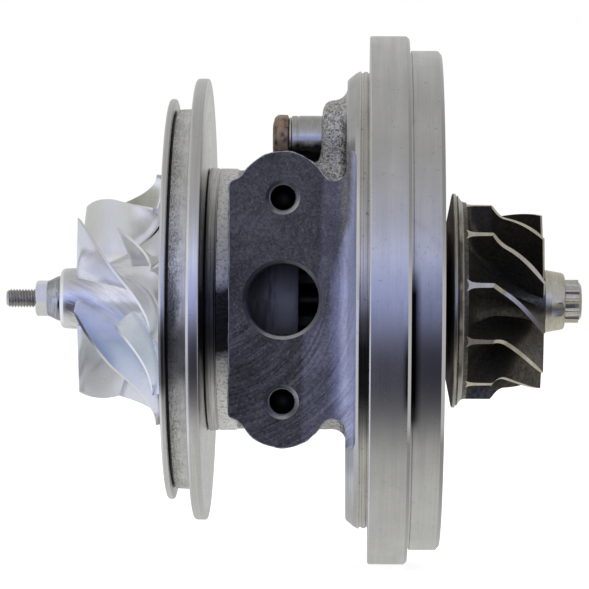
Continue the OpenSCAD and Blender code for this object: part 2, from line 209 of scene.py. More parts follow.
def cast_metal(name, light, dark, rough=0.62, bumpy=0.9, speck=0.5, scale=1.0, metallic=0.85, height=None, crevice_shade=None):
    """as-cast skin: grainy bump, dark pits, pale rubbed grains"""
    g = Graph(name)
    a = g.noise(420.0 * scale, 6.0, 0.68)
    b = g.noise(1500.0 * scale, 3.0, 0.6)
    v = g.voronoi(650.0 * scale)
    h = g.math("ADD", g.math("MULTIPLY", a, 0.7), g.math("ADD", g.math("MULTIPLY", b, 0.25), g.math("MULTIPLY", v, 0.35)))
    col = g.ramp(h, [(0.36, tuple(c * 0.35 for c in dark)), (0.47, dark), (0.66, light), (0.8, tuple(min(1, c * 1.35) for c in light))])
    grains = g.ramp(b, [(0.60, 0.0), (0.68, 1.0)])
    col = g.mix(g.math("MULTIPLY", grains, speck), col, tuple(min(1.0, c * 1.7) for c in light))
    # height: painted shade in bands by height
    if height:
        col = g.mix(1.0, col, g.by_height(*height), "MULTIPLY")
    if crevice_shade:
        # painted shade in the corner where the skin meets the disc
        sep = g.node("ShaderNodeSeparateXYZ")
        g.link(g.tc.outputs["Object"], sep.inputs[0])
        wob = g.math("MULTIPLY", g.math("SUBTRACT", g.noise(330.0, 4.0, 0.7), 0.5), 0.0022)
        near = g.math("DIVIDE", g.math("SUBTRACT", g.math("ADD", sep.outputs["X"], wob), crevice_shade[0] * MM), (crevice_shade[1] - crevice_shade[0]) * MM, True)
        near = g.math("MULTIPLY", near, g.by_height(-60.0, 60.0, [(-60, 1.0), (46.5, 1.0), (49.5, 0.0), (60, 0.0)]))
        near = g.math("MULTIPLY", near, g.ramp(h, [(0.42, 0.95), (0.6, 0.8), (0.72, 0.45)]))
        col = g.mix(near, col, (0.03, 0.028, 0.025))
    n = g.bump(h, bumpy, 0.0004)
    return g.out(col, g.ramp(h, [(0.35, min(1.0, rough + 0.15)), (0.7, rough - 0.1)]), n, metallic)


M = {}
M["turned"] = turned_metal("turned_steel", (0.72, 0.715, 0.705), (0.56, 0.555, 0.545), (0.2, 0.34), 0.22, 0.35, stain=(0.42, 0.41, 0.38), fine_w=0.27)
# painted shade: the lip darkened over a band of heights below the axis
M["lip"] = turned_metal("turned_lip", (0.82, 0.815, 0.805), (0.64, 0.635, 0.625), (0.2, 0.34), 0.3, 0.35, height=(-54.0, 54.0, [(-54, 1.0), (-26, 1.0), (-22, 0.25), (-10, 0.2), (-6, 0.45), (-2, 0.88), (54, 0.88)]))
# painted shade: the back face near-black across the middle heights
M["back"] = turned_metal("back_face", (0.88, 0.875, 0.865), (0.7, 0.695, 0.685), (0.22, 0.36), 0.3, 0.35, height=(-60.0, 60.0, [(-60, 1.0), (-34, 1.0), (-27, 0.85), (-19, 0.35), (-13, 0.1), (0, 0.07), (20, 0.09), (24, 0.22), (28, 0.42), (34, 0.85), (60, 1.0)]))


def groove_floor():
    """seal groove: dull turned floor, pits and dirt toward the lip, cleaner metal toward the rim, painted shade across
    the middle heights
    """
    g = Graph("groove_floor")
    sep = g.node("ShaderNodeSeparateXYZ")
    g.link(g.tc.outputs["Object"], sep.inputs[0])
    fine = g.noise(1.0, 3.0, 0.6, g.turned(1800, 1800, 5.0))
    speck = g.noise(1.0, 4.0, 0.7, g.turned(2600, 2600, 70.0))
    blotch = g.noise(260.0, 5.0, 0.7)
    u = g.math("DIVIDE", g.math("ADD", sep.outputs["X"], 0.0618), 0.0051)
    v = g.math("ADD", u, g.math("MULTIPLY", g.math("SUBTRACT", blotch, 0.5), 1.1))
    dirt = g.ramp(v, [(0.05, 1.0), (0.4, 0.4), (0.75, 0.05)])
    col = g.ramp(g.math("ADD", g.math("MULTIPLY", fine, 0.5), g.math("MULTIPLY", blotch, 0.5)), [(0.34, (0.54, 0.535, 0.52)), (0.66, (0.86, 0.855, 0.845))])
    pits = g.ramp(speck, [(0.38, 1.0), (0.52, 0.0)])
    col = g.mix(g.math("MULTIPLY", g.math("MULTIPLY", pits, dirt), 0.75), col, (0.09, 0.086, 0.078))
    # painted shade: the middle heights darkened, differently toward the lip and toward the rim
    left = g.by_height(-54.0, 54.0, [(-54, 1.0), (-24, 1.0), (-20, 0.4), (-11, 0.2), (-2, 0.3), (3, 0.5), (8, 0.8), (20, 1.0), (54, 1.0)])
    right = g.by_height(-54.0, 54.0, [(-54, 1.0), (-24, 0.95), (-19, 0.3), (-11, 0.26), (-7, 0.5), (-3, 0.95), (8, 1.0), (54, 1.0)])
    side = g.math("DIVIDE", g.math("SUBTRACT", v, 0.3), 0.35, True)
    col = g.mix(1.0, col, g.mix(side, left, right), "MULTIPLY")
    return g.out(col, g.ramp(speck, [(0.4, 0.5), (0.6, 0.28)]), g.bump(g.math("MULTIPLY", pits, dirt), 0.7, -0.00012, g.bump(fine, 0.3, 0.00004)))


M["groove"] = groove_floor()
# painted shade on the turned neck: darkest across the front middle heights
NECK_SHADE = (-36.0, 36.0, [(-36, 1.0), (-27, 1.0), (-20, 0.7), (-12, 0.32), (0, 0.12), (8, 0.24), (17, 0.58), (28, 0.9), (36, 1.0)])
M["neck"] = turned_metal("neck_turned", (0.8, 0.79, 0.77), (0.32, 0.32, 0.31), (0.28, 0.45), 0.9, 0.6, height=NECK_SHADE)
# painted shade on the neck's cast band: near-black across the middle heights
STRIP = (-36.0, 36.0, [(-36, 1.0), (-16.5, 1.0), (-14.5, 0.5), (-13.2, 0.07), (2.0, 0.07), (3.4, 0.5), (5.5, 1.0), (18, 1.0), (27, 0.85), (36, 0.85)])
M["neck_cast"] = cast_metal("neck_cast", (1.0, 0.99, 0.97), (0.64, 0.64, 0.63), 0.5, 0.6, 0.3, 2.2, 0.92, height=STRIP)
# painted shade: the pilot darkened by height and near-black in its corner by the flange
M["pilot"] = turned_metal("turned_pilot", (0.72, 0.715, 0.705), (0.56, 0.555, 0.545), (0.18, 0.3), 0.22, 0.35, stain=(0.42, 0.41, 0.38), fine_w=0.27, height=(-66.0, 66.0, [(-66, 1.0), (-38, 1.0), (-28, 0.72), (-14, 0.6), (0, 0.68), (10, 0.86), (25, 1.0), (66, 0.97)]),
                          corner=(2.7, 1.0, (-66.0, 66.0, [(-66, 0.0), (-33, 0.0), (-30, 0.8), (-25, 1.0), (2, 1.0), (5, 0.7), (9, 0.15), (14, 0.0), (66, 0.0)])))
# painted shade: the flange rim near-black toward its right end over a band of heights
M["flange"] = turned_metal("turned_flange", (0.72, 0.715, 0.705), (0.56, 0.555, 0.545), (0.2, 0.34), 0.22, 0.35, stain=(0.42, 0.41, 0.38), fine_w=0.27,
                           corner=(-2.2, -1.0, (-70.0, 70.0, [(-70, 0.0), (-29, 0.0), (-26, 0.6), (-23, 1.0), (-15, 1.0), (-10, 0.4), (-6, 0.0), (70, 0.0)])))
# painted highlight: the flange edge chamfer white, brightest over a band of heights
M["flange_edge"] = turned_metal("flange_edge", (1.0, 1.0, 1.0), (0.96, 0.96, 0.96), (0.16, 0.26), 0.2, 0.2, height=(-71.0, 71.0, [(-71, 0.5), (-36, 0.52), (-31, 1.0), (5, 1.0), (12, 0.75), (22, 0.55), (71, 0.5)]))
# painted shade and painted highlight: the disc and rim finishes lighter and darker in bands by height
M["disc_rim"] = turned_metal("disc_rim", (0.74, 0.72, 0.68), (0.5, 0.485, 0.45), (0.18, 0.36), 0.5, 0.9, stain=(0.4, 0.37, 0.3), height=(-62.0, 62.0, [(-62, 1.0), (-38, 1.0), (-31, 0.4), (-24, 0.08), (-12, 0.08), (-5, 0.3), (2, 0.8), (10, 1.0), (62, 1.0)]))
M["disc_edge"] = turned_metal("disc_edge", (0.86, 0.86, 0.87), (0.6, 0.6, 0.6), (0.2, 0.34), 0.2, 0.3, height=(-62.0, 62.0, [(-62, 0.68), (-46, 0.68), (-42, 0.5), (-36, 0.48), (-32, 0.9), (22, 1.0), (27, 0.36), (39, 0.3), (42.5, 0.62), (62, 0.66)]))
M["disc_lip"] = turned_metal("disc_lip", (0.86, 0.86, 0.86), (0.66, 0.66, 0.66), (0.2, 0.34), 0.2, 0.3, height=(-62.0, 62.0, [(-62, 0.64), (-41, 0.64), (-34, 0.74), (15, 0.8), (26, 0.8), (34, 0.75), (45, 0.64), (62, 0.64)]))
M["rim"] = turned_metal("turned_rim", (0.86, 0.855, 0.845), (0.67, 0.665, 0.655), (0.16, 0.28), 0.3, 0.3, height=(-60.0, 60.0, [(-60, 0.84), (-42, 0.9), (-33, 1.0), (-26, 0.8), (-18, 0.62), (-10, 0.8), (-2, 1.0), (12, 1.0), (22, 0.85), (60, 0.82)]))
M["edge"] = turned_metal("burr_edge", (0.85, 0.85, 0.88), (0.12, 0.12, 0.12), (0.25, 0.5), 0.2, 0.2)
M["cast"] = cast_metal("cast_skin", (0.6, 0.585, 0.57), (0.13, 0.128, 0.125), 0.6, 1.0, 0.7, 2.6, crevice_shade=(-18.3, -17.3))


def hub_iron():
    """bearing hub seen through the drain: painted shade darkens its left, dull grey painted light toward its right
    edge, faint turned streaks
    """
    g = Graph("hub_iron")
    sep = g.node("ShaderNodeSeparateXYZ")
    g.link(g.tc.outputs["Object"], sep.inputs[0])
    streak = g.noise(1.0, 3.0, 0.6, g.turned(900, 60, 1.5))
    cloud = g.noise(110.0, 4.0, 0.6)
    u = g.math("DIVIDE", g.math("ADD", sep.outputs["X"], 0.0415), 0.0118)
    u = g.math("ADD", u, g.math("MULTIPLY", g.math("SUBTRACT", streak, 0.5), 0.7))
    # painted shade at the hub's left, painted light toward its right edge
    lev = g.ramp(u, [(0.0, (0.2, 0.2, 0.18)), (0.3, (0.4, 0.39, 0.36)), (0.55, (0.95, 0.93, 0.9)), (0.8, (1.0, 0.98, 0.95)), (1.0, (0.9, 0.88, 0.86))])
    col = g.mix(1.0, g.ramp(cloud, [(0.3, 0.8), (0.7, 1.0)]), lev, "MULTIPLY")
    return g.out(col, 0.55, g.bump(streak, 0.2, 0.00006), 0.1)


def shaded_csk(name, cz):
    """countersink painted bright on its lower right side and painted dark on its upper left, as light from the upper
    left would fall
    """
    g = Graph(name)
    sep = g.node("ShaderNodeSeparateXYZ")
    g.link(g.tc.outputs["Object"], sep.inputs[0])
    dx = g.math("SUBTRACT", sep.outputs["X"], -0.0327)
    dz = g.math("SUBTRACT", sep.outputs["Z"], cz)
    r = g.math("SQRT", g.math("ADD", g.math("MULTIPLY", dx, dx), g.math("MULTIPLY", dz, dz)))
    # painted highlight toward the lower right, painted shade toward the upper left
    c = g.math("DIVIDE", g.math("SUBTRACT", g.math("MULTIPLY", dx, 0.8), g.math("MULTIPLY", dz, 0.6)), r)
    c = g.math("ADD", c, g.math("MULTIPLY", g.math("SUBTRACT", g.noise(500.0, 4.0), 0.5), 0.8))
    f = g.math("ADD", g.math("MULTIPLY", c, 0.5), 0.5)
    col = g.ramp(f, [(0.12, (0.1, 0.1, 0.11)), (0.45, (0.3, 0.3, 0.32)), (0.7, (0.68, 0.68, 0.7)), (0.95, (0.9, 0.9, 0.92))])
    return g.out(col, 0.36, g.bump(g.noise(1800.0, 3.0), 0.2, 0.00004))


M["hub"] = hub_iron()
# painted highlight: near-white diffuse chamfer for the bright line at the hub's right edge
M["hub_edge"] = cast_metal("hub_edge", (0.98, 0.97, 0.95), (0.9, 0.89, 0.87), 0.45, 0.1, 0.05, 1.0, 0.0)
M["shaded_csk_mid"] = shaded_csk("shaded_csk_mid", 0.0)
M["shaded_csk_top"] = shaded_csk("shaded_csk_top", 0.0262)
M["shaded_csk_low"] = shaded_csk("shaded_csk_low", -0.0262)
# near-black steel: painted shade in gaps, joints, deep holes and on the back of the turbine disc; oil on hidden faces
# inside the housing
M["oil_and_shade"] = turned_metal("oil_and_shade_steel", (0.055, 0.05, 0.045), (0.03, 0.028, 0.025), (0.3, 0.45), 0.2, 0.2)
M["bore"] = turned_metal("bore_steel", (0.3, 0.3, 0.31), (0.16, 0.16, 0.17), (0.3, 0.45), 0.4, 0.4)
M["chamfer"] = turned_metal("chamfer_bright", (0.74, 0.74, 0.78), (0.55, 0.55, 0.58), (0.42, 0.55), 0.2, 0.2)
# painted shade: the lower half of the bush near-black, below the axis
M["polished"] = turned_metal("polished_steel", (0.7, 0.7, 0.69), (0.5, 0.5, 0.49), (0.1, 0.2), 0.3, 0.25, offset=(-0.003, 0.0432), height=(34.0, 52.0, [(34, 0.05), (41.4, 0.06), (42.6, 0.9), (46, 0.85), (52, 0.7)]))
M["nut"] = turned_metal("nut_steel", (0.97, 0.985, 1.0), (0.8, 0.825, 0.86), (0.06, 0.14), 0.25, 0.3)
M["nut_collar"] = turned_metal("nut_collar", (0.56, 0.58, 0.61), (0.26, 0.275, 0.31), (0.06, 0.14), 0.35, 0.4)
M["thread"] = turned_metal("thread_steel", (0.62, 0.6, 0.58), (0.34, 0.33, 0.31), (0.22, 0.4), 0.3, 0.5)
M["rust"] = cast_metal("brown_steel", (0.33, 0.24, 0.17), (0.12, 0.085, 0.06), 0.5, 0.35, 0.3, 1.0, 0.6)
M["bronze"] = turned_metal("bronze", (0.72, 0.53, 0.28), (0.5, 0.35, 0.17), (0.25, 0.4), 0.3, 0.2)
M["ground"] = turned_metal("ground_steel", (0.66, 0.66, 0.67), (0.48, 0.48, 0.49), (0.16, 0.28), 0.25, 0.15)
M["dark"] = turned_metal("dark_steel", (0.24, 0.235, 0.23), (0.1, 0.1, 0.1), (0.35, 0.5), 0.3, 0.3)
M["shield"] = turned_metal("shield_sheet", (0.5, 0.46, 0.42), (0.3, 0.27, 0.24), (0.3, 0.48), 0.25, 0.3, stain=(0.34, 0.26, 0.2))


def rubber():
    g = Graph("black_rubber")
    h = g.noise(2500.0, 3.0)
    return g.out(g.ramp(h, [(0.3, 0.012), (0.7, 0.03)]), 0.55, g.bump(h, 0.2, 0.00003), 0.0)


M["rubber"] = rubber()


def milled():
    """drain face: face-milled iron, dark grey with a painted lavender reflection toward the fillet, overlapping cutter
    arcs and pale specks
    """
    g = Graph("milled_face")
    sep = g.node("ShaderNodeSeparateXYZ")
    g.link(g.tc.outputs["Object"], sep.inputs[0])
    # cutter arcs: distance from a centre that lies off to the left of the drain hole
    dx = g.math("SUBTRACT", sep.outputs["X"], -0.052)
    dz = g.math("SUBTRACT", sep.outputs["Z"], 0.004)
    r = g.math("SQRT", g.math("ADD", g.math("MULTIPLY", dx, dx), g.math("MULTIPLY", dz, dz)))
    com = g.node("ShaderNodeCombineXYZ")
    g.link(g.math("MULTIPLY", r, 1500.0), com.inputs[0])
    g.link(g.math("MULTIPLY", g.math("ARCTAN2", dz, dx), 2.0), com.inputs[1])
    g.link(g.math("MULTIPLY", sep.outputs["Y"], 300.0), com.inputs[2])
    arcs = g.noise(1.0, 3.0, 0.6, com.outputs[0])
    grain = g.noise(1700.0, 4.0, 0.7)
    cloud = g.noise(75.0, 5.0, 0.65)
    # the arcs show on the lower half, the upper half has been rubbed down to an even grain
    swept = g.math("MULTIPLY", g.math("ADD", 0.5, g.math("MULTIPLY", sep.outputs["Z"], -60.0)), 0.42, True)
    swept = g.math("MAXIMUM", g.math("MINIMUM", swept, 0.42), 0.06)
    tone = g.math("ADD", g.math("MULTIPLY", g.math("SUBTRACT", arcs, 0.5), swept), g.math("ADD", g.math("MULTIPLY", grain, 0.42), g.math("ADD", g.math("MULTIPLY", cloud, 0.26), 0.16)))
    # painted lavender reflection toward the fillet: a narrow strip above, a broad one below
    x0 = g.ramp(g.math("ADD", 0.5, g.math("MULTIPLY", sep.outputs["Z"], 12.0)), [(0.04, 0.8), (0.1, 0.5), (0.2, 0.36), (0.42, 0.4), (0.55, 0.36), (0.66, 0.6), (0.74, 0.8), (0.82, 0.84), (0.94, 0.88)])
    soft = g.ramp(g.math("ADD", 0.5, g.math("MULTIPLY", sep.outputs["Z"], 12.0)), [(0.42, 0.52), (0.6, 0.42), (0.7, 0.16), (0.85, 0.13)])
    u = g.math("DIVIDE", g.math("ADD", sep.outputs["X"], 0.0250), 0.0108)
    reflection_mask = g.math("DIVIDE", g.math("SUBTRACT", g.math("ADD", u, g.math("MULTIPLY", g.math("SUBTRACT", arcs, 0.5), g.math("MULTIPLY", soft, 0.5))), x0), soft, True)
    dull = g.ramp(tone, [(0.36, (0.035, 0.032, 0.029)), (0.5, (0.115, 0.107, 0.1)), (0.64, (0.24, 0.225, 0.21))])
    xl = g.ramp(g.math("ADD", 0.5, g.math("MULTIPLY", sep.outputs["Z"], 12.0)), [(0.2, 0.3), (0.52, 0.3), (0.58, 0.52), (0.9, 0.55)])
    zone = g.math("DIVIDE", g.math("SUBTRACT", g.math("DIVIDE", g.math("ADD", sep.outputs["X"], 0.0340), 0.0200), xl), 0.06, True)
    dull = g.mix(g.math("MULTIPLY", zone, 0.75), dull, g.ramp(tone, [(0.36, (0.1, 0.097, 0.1)), (0.5, (0.215, 0.208, 0.215)), (0.64, (0.4, 0.39, 0.4))]))
    painted_reflection = g.ramp(tone, [(0.36, (0.42, 0.445, 0.64)), (0.62, (0.72, 0.76, 1.0))])
    # the wall above the fillet is plain bright metal
    wall = g.math("DIVIDE", g.math("SUBTRACT", g.math("MULTIPLY", sep.outputs["Y"], -1.0), 0.0485), 0.003, True)
    painted_reflection = g.mix(wall, painted_reflection, g.ramp(tone, [(0.36, (0.4, 0.4, 0.42)), (0.62, (0.66, 0.66, 0.69))]))
    col = g.mix(reflection_mask, dull, painted_reflection)
    specks = g.ramp(g.noise(1500.0, 2.0, 0.5), [(0.69, 0.0), (0.75, 1.0)])
    col = g.mix(g.math("MULTIPLY", specks, 0.4), col, (0.5, 0.5, 0.55))
    # a few pale scratches
    scr = g.node("ShaderNodeCombineXYZ")
    g.link(g.math("MULTIPLY", g.math("ADD", sep.outputs["X"], g.math("MULTIPLY", sep.outputs["Z"], -0.35)), 900.0), scr.inputs[0])
    g.link(g.math("MULTIPLY", sep.outputs["Z"], 110.0), scr.inputs[1])
    lines = g.ramp(g.noise(1.0, 1.0, 0.4, scr.outputs[0]), [(0.79, 0.0), (0.82, 1.0)])
    col = g.mix(g.math("MULTIPLY", lines, 0.5), col, (0.7, 0.7, 0.75))
    n = g.bump(g.math("MULTIPLY", arcs, swept), 0.7, 0.00008)
    n = g.bump(grain, 0.35, 0.00008, n)
    g.link(g.math("SUBTRACT", 1.0, g.math("MULTIPLY", reflection_mask, 0.6)), g.bsdf.inputs["Metallic"])
    return g.out(col, g.ramp(tone, [(0.3, 0.52), (0.7, 0.38)]), n)


M["milled"] = milled()


def aluminium(name, light, dark, rough, fine=0.5, height=None, wheel=False):
    """milled and polished aluminium: faint cutter lines, soft mottling"""
    g = Graph(name)
    cloud = g.noise(90.0, 5.0, 0.6)
    lines = g.noise(1.0, 2.0, 0.5, g.turned(1500, 1500, 9.0))
    grain = g.noise(2400.0, 3.0, 0.6)
    tone = g.math("ADD", g.math("MULTIPLY", cloud, 0.5), g.math("ADD", g.math("MULTIPLY", lines, 0.25), g.math("MULTIPLY", grain, 0.25)))
    col = g.ramp(tone, [(0.36, dark), (0.64, light)])
    plain = col
    if height:
        col = g.mix(1.0, col, g.by_height(*height), "MULTIPLY")
    n = g.bump(lines, 0.12 * fine, 0.00006)
    if wheel:
        sep = g.node("ShaderNodeSeparateXYZ")
        g.link(g.tc.outputs["Object"], sep.inputs[0])
        x, y, z = (sep.outputs[k] for k in "XYZ")
        # the outer blade ends keep the untinted colour, and a cooler tint lies on the lower near blades
        ends = g.math("MULTIPLY", g.math("DIVIDE", g.math("ADD", x, 0.0745), 0.004, True), g.by_height(-36.0, 36.0, [(-36, 0.0), (18, 0.0), (23, 1.0), (36, 1.0)]))
        col = g.mix(ends, col, plain)
        cool_tint = g.math("MULTIPLY", g.math("DIVIDE", g.math("SUBTRACT", -0.006, y), 0.008, True), g.by_height(-36.0, 36.0, [(-36, 0.0), (-26, 0.1), (-19, 0.5), (-14, 1.0), (-8, 1.0), (-4, 0.3), (0, 0.0), (36, 0.0)]))
        col = g.mix(cool_tint, col, g.mix(1.0, col, (0.84, 0.885, 0.92), "MULTIPLY"))
        # polishing streaks along the passages of the hub
        r = g.math("SQRT", g.math("ADD", g.math("MULTIPLY", y, y), g.math("MULTIPLY", z, z)))
        a = g.math("ADD", g.math("ARCTAN2", z, g.math("MULTIPLY", y, -1.0)), g.math("MULTIPLY", x, 61.0))
        com = g.node("ShaderNodeCombineXYZ")
        g.link(g.math("MULTIPLY", x, 110.0), com.inputs[0])
        g.link(g.math("MULTIPLY", a, 8.0), com.inputs[1])
        streak = g.ramp(g.noise(1.0, 3.0, 0.6, com.outputs[0]), [(0.46, 0.0), (0.6, 1.0)])
        hub = g.math("MULTIPLY", g.math("DIVIDE", g.math("SUBTRACT", 0.0165, r), 0.004, True), g.math("DIVIDE", g.math("ADD", x, 0.0915), 0.001, True))
        streak = g.math("MULTIPLY", streak, hub)
        col = g.mix(g.math("MULTIPLY", streak, 0.36), col, (0.5, 0.53, 0.62))
        n = g.bump(streak, 0.35, 0.00008, n)
    n = g.bump(grain, 0.2 * fine, 0.00003, n)
    return g.out(col, g.ramp(tone, [(0.3, rough + 0.06), (0.7, rough - 0.05)]), n)


# painted shade: the upper blades darkened and warmed by height against the cool reflection
M["alu"] = aluminium("wheel_aluminium", (0.96, 0.965, 0.97), (0.88, 0.885, 0.9), 0.24, 0.15, height=(-36.0, 36.0, [(-36, 1.0), (-8, 1.0), (2, (0.95, 0.96, 1.0)), (9, (0.88, 0.88, 0.9)), (16, (0.74, 0.74, 0.69)), (24, (0.71, 0.71, 0.62)), (36, (0.75, 0.75, 0.7))]), wheel=True)
M["alu_tip"] = aluminium("wheel_tip", (0.97, 0.97, 0.97), (0.9, 0.9, 0.9), 0.24)
M["turbine"] = cast_metal("turbine_alloy", (0.115, 0.109, 0.088), (0.072, 0.068, 0.056), 0.42, 0.15, 0.08, 1.6, 0.75)
M["turbine_tip"] = turned_metal("turbine_ground", (0.8, 0.75, 0.61), (0.56, 0.52, 0.42), (0.3, 0.45), 0.4, 0.35)
M["turbine_ring"] = turned_metal("turbine_ring", (0.62, 0.6, 0.54), (0.24, 0.23, 0.2), (0.2, 0.36), 0.6, 0.5)
M["turbine_hub"] = turned_metal("turbine_turned", (0.78, 0.74, 0.62), (0.5, 0.47, 0.39), (0.18, 0.3), 0.5, 0.4)


# ------------------------------------------------------------------ mesh helpers
def make_object(name, verts, faces, mats, index=None, angle=35.0):
    """verts in mm; mats is a list of material keys; index gives one slot per face"""
    me = bpy.data.meshes.new(name)
    me.from_pydata([tuple(float(c) * MM for c in v) for v in verts], [], [tuple(int(i) for i in f) for f in faces])
    for k in mats:
        me.materials.append(M[k])
    if index is not None:
        me.polygons.foreach_set("material_index", np.asarray(index, np.int32))
    me.validate(verbose=False)
    me.update()
    ob = bpy.data.objects.new(name, me)
    scene.collection.objects.link(ob)
    smooth(ob, angle)
    return ob


def smooth(ob, angle=35.0):
    me = ob.data
    me.polygons.foreach_set("use_smooth", np.ones(len(me.polygons), bool))
    me.set_sharp_from_angle(angle=math.radians(angle))
    me.update()


def rounded(pts, rad=0.25, n=3, keep=()):
    """a closed profile with its corners rounded; pts are (r, x) or (r, x, radius)"""
    out = []
    k = len(pts)
    for i in range(k):
        p = np.array(pts[i][:2], float)
        a = np.array(pts[i - 1][:2], float)
        b = np.array(pts[(i + 1) % k][:2], float)
        rr = pts[i][2] if len(pts[i]) > 2 else rad
        if p[0] < 1e-6 or rr <= 0:
            out.append(p)
            continue
        u, v = a - p, b - p
        lu, lv = np.linalg.norm(u), np.linalg.norm(v)
        u, v = u / lu, v / lv
        cosang = float(np.clip(np.dot(u, v), -1, 1))
        ang = math.acos(cosang)
        if ang > math.radians(172):
            out.append(p)
            continue
        d = min(rr / math.tan(ang / 2), 0.45 * lu, 0.45 * lv)
        r2 = d * math.tan(ang / 2)
        mid = u + v
        c = p + mid / np.linalg.norm(mid) * (r2 / math.sin(ang / 2))
        s, e = p + u * d - c, p + v * d - c
        a0 = math.atan2(s[1], s[0])
        a1 = math.atan2(e[1], e[0])
        da = (a1 - a0 + math.pi) % (2 * math.pi) - math.pi
        for t in np.linspace(0, 1, n + 1):
            out.append(c + r2 * np.array([math.cos(a0 + da * t), math.sin(a0 + da * t)]))
    return [tuple(p) for p in out]


def lathe(name, prof, mats, seg=192, pick=None, centre=(0.0, 0.0), angle=35.0, axis="X"):
    """turns a closed (r, x) profile; pick(r, x) of a strip's middle gives its slot"""
    seg = seg
    prof = [(max(0.0, r), x) for r, x in prof]
    k = len(prof)
    rings, verts = [], []
    th = np.linspace(0, 2 * math.pi, seg, endpoint=False)
    for r, x in prof:
        if r < 1e-6:
            rings.append([len(verts)])
            verts.append((x, 0.0, 0.0))
        else:
            rings.append(list(range(len(verts), len(verts) + seg)))
            verts += [(x, r * math.sin(t), r * math.cos(t)) for t in th]
    faces, index = [], []
    for i in range(k):
        A, B = rings[i], rings[(i + 1) % k]
        (ra, xa), (rb, xb) = prof[i], prof[(i + 1) % k]
        m = pick((ra + rb) / 2, (xa + xb) / 2) if pick else 0
        if len(A) == 1 and len(B) == 1:
            continue
        for j in range(seg):
            j2 = (j + 1) % seg
            if len(A) == 1:
                f = (A[0], B[j2], B[j])
            elif len(B) == 1:
                f = (A[j], A[j2], B[0])
            else:
                f = (A[j], A[j2], B[j2], B[j])
            faces.append(f)
            index.append(m)
    area = sum(prof[i][0] * prof[(i + 1) % k][1] - prof[(i + 1) % k][0] * prof[i][1] for i in range(k))
    if area > 0:
        faces = [f[::-1] for f in faces]
    V = np.array(verts)
    if axis == "Y":
        V = np.stack([V[:, 1], V[:, 0], V[:, 2]], 1)
        faces = [f[::-1] for f in faces]
        V[:, 0] += centre[0]
        V[:, 2] += centre[1]
    else:
        V[:, 1] += centre[0]
        V[:, 2] += centre[1]
    return make_object(name, V, faces, mats, index, angle)


def prism(name, poly, h0, h1, mats, plane="XY", angle=35.0):
    """extrudes a closed polygon; plane XY goes along Z, plane YZ along X"""
    n = len(poly)
    area = sum(poly[i][0] * poly[(i + 1) % n][1] - poly[(i + 1) % n][0] * poly[i][1] for i in range(n))
    if area < 0:
        poly = poly[::-1]
    if plane == "XY":
        verts = [(x, y, h0) for x, y in poly] + [(x, y, h1) for x, y in poly]
    else:
        verts = [(h0, x, y) for x, y in poly] + [(h1, x, y) for x, y in poly]
    faces = [tuple(range(n))[::-1], tuple(range(n, 2 * n))] + [(i, (i + 1) % n, n + (i + 1) % n, n + i) for i in range(n)]
    return make_object(name, verts, faces, mats, None, angle)


def combine(base, tools, op="DIFFERENCE", angle=35.0):
    """applies booleans one after another and deletes the tools"""
    for t in tools:
        m = base.modifiers.new("cut", "BOOLEAN")
        m.operation = op
        m.solver = "MANIFOLD"
        m.object = t
        m.material_mode = "TRANSFER"
        dg = bpy.context.evaluated_depsgraph_get()
        me = bpy.data.meshes.new_from_object(base.evaluated_get(dg))
        base.modifiers.clear()
        old = base.data
        base.data = me
        bpy.data.meshes.remove(old)
        bpy.data.objects.remove(t)
    smooth(base, angle)
    return base


def value_noise(P, freq, seed):
    """smooth lattice noise in -1..1 on an (n, 3) array"""
    q = P * freq
    i = np.floor(q).astype(np.int64)
    f = q - i
    f = f * f * (3 - 2 * f)

    def h(ix, iy, iz):
        n = (ix * 374761393 + iy * 668265263 + iz * 2147483647 + seed * 1274126177) & 0xFFFFFFFF
        n = ((n ^ (n >> 13)) * 1274126177) & 0xFFFFFFFF
        return ((n ^ (n >> 16)) & 0xFFFF) / 32767.5 - 1.0

    out = 0.0
    for dx in (0, 1):
        for dy in (0, 1):
            for dz in (0, 1):
                w = (f[:, 0] if dx else 1 - f[:, 0]) * (f[:, 1] if dy else 1 - f[:, 1]) * (f[:, 2] if dz else 1 - f[:, 2])
                out = out + w * h(i[:, 0] + dx, i[:, 1] + dy, i[:, 2] + dz)
    return out


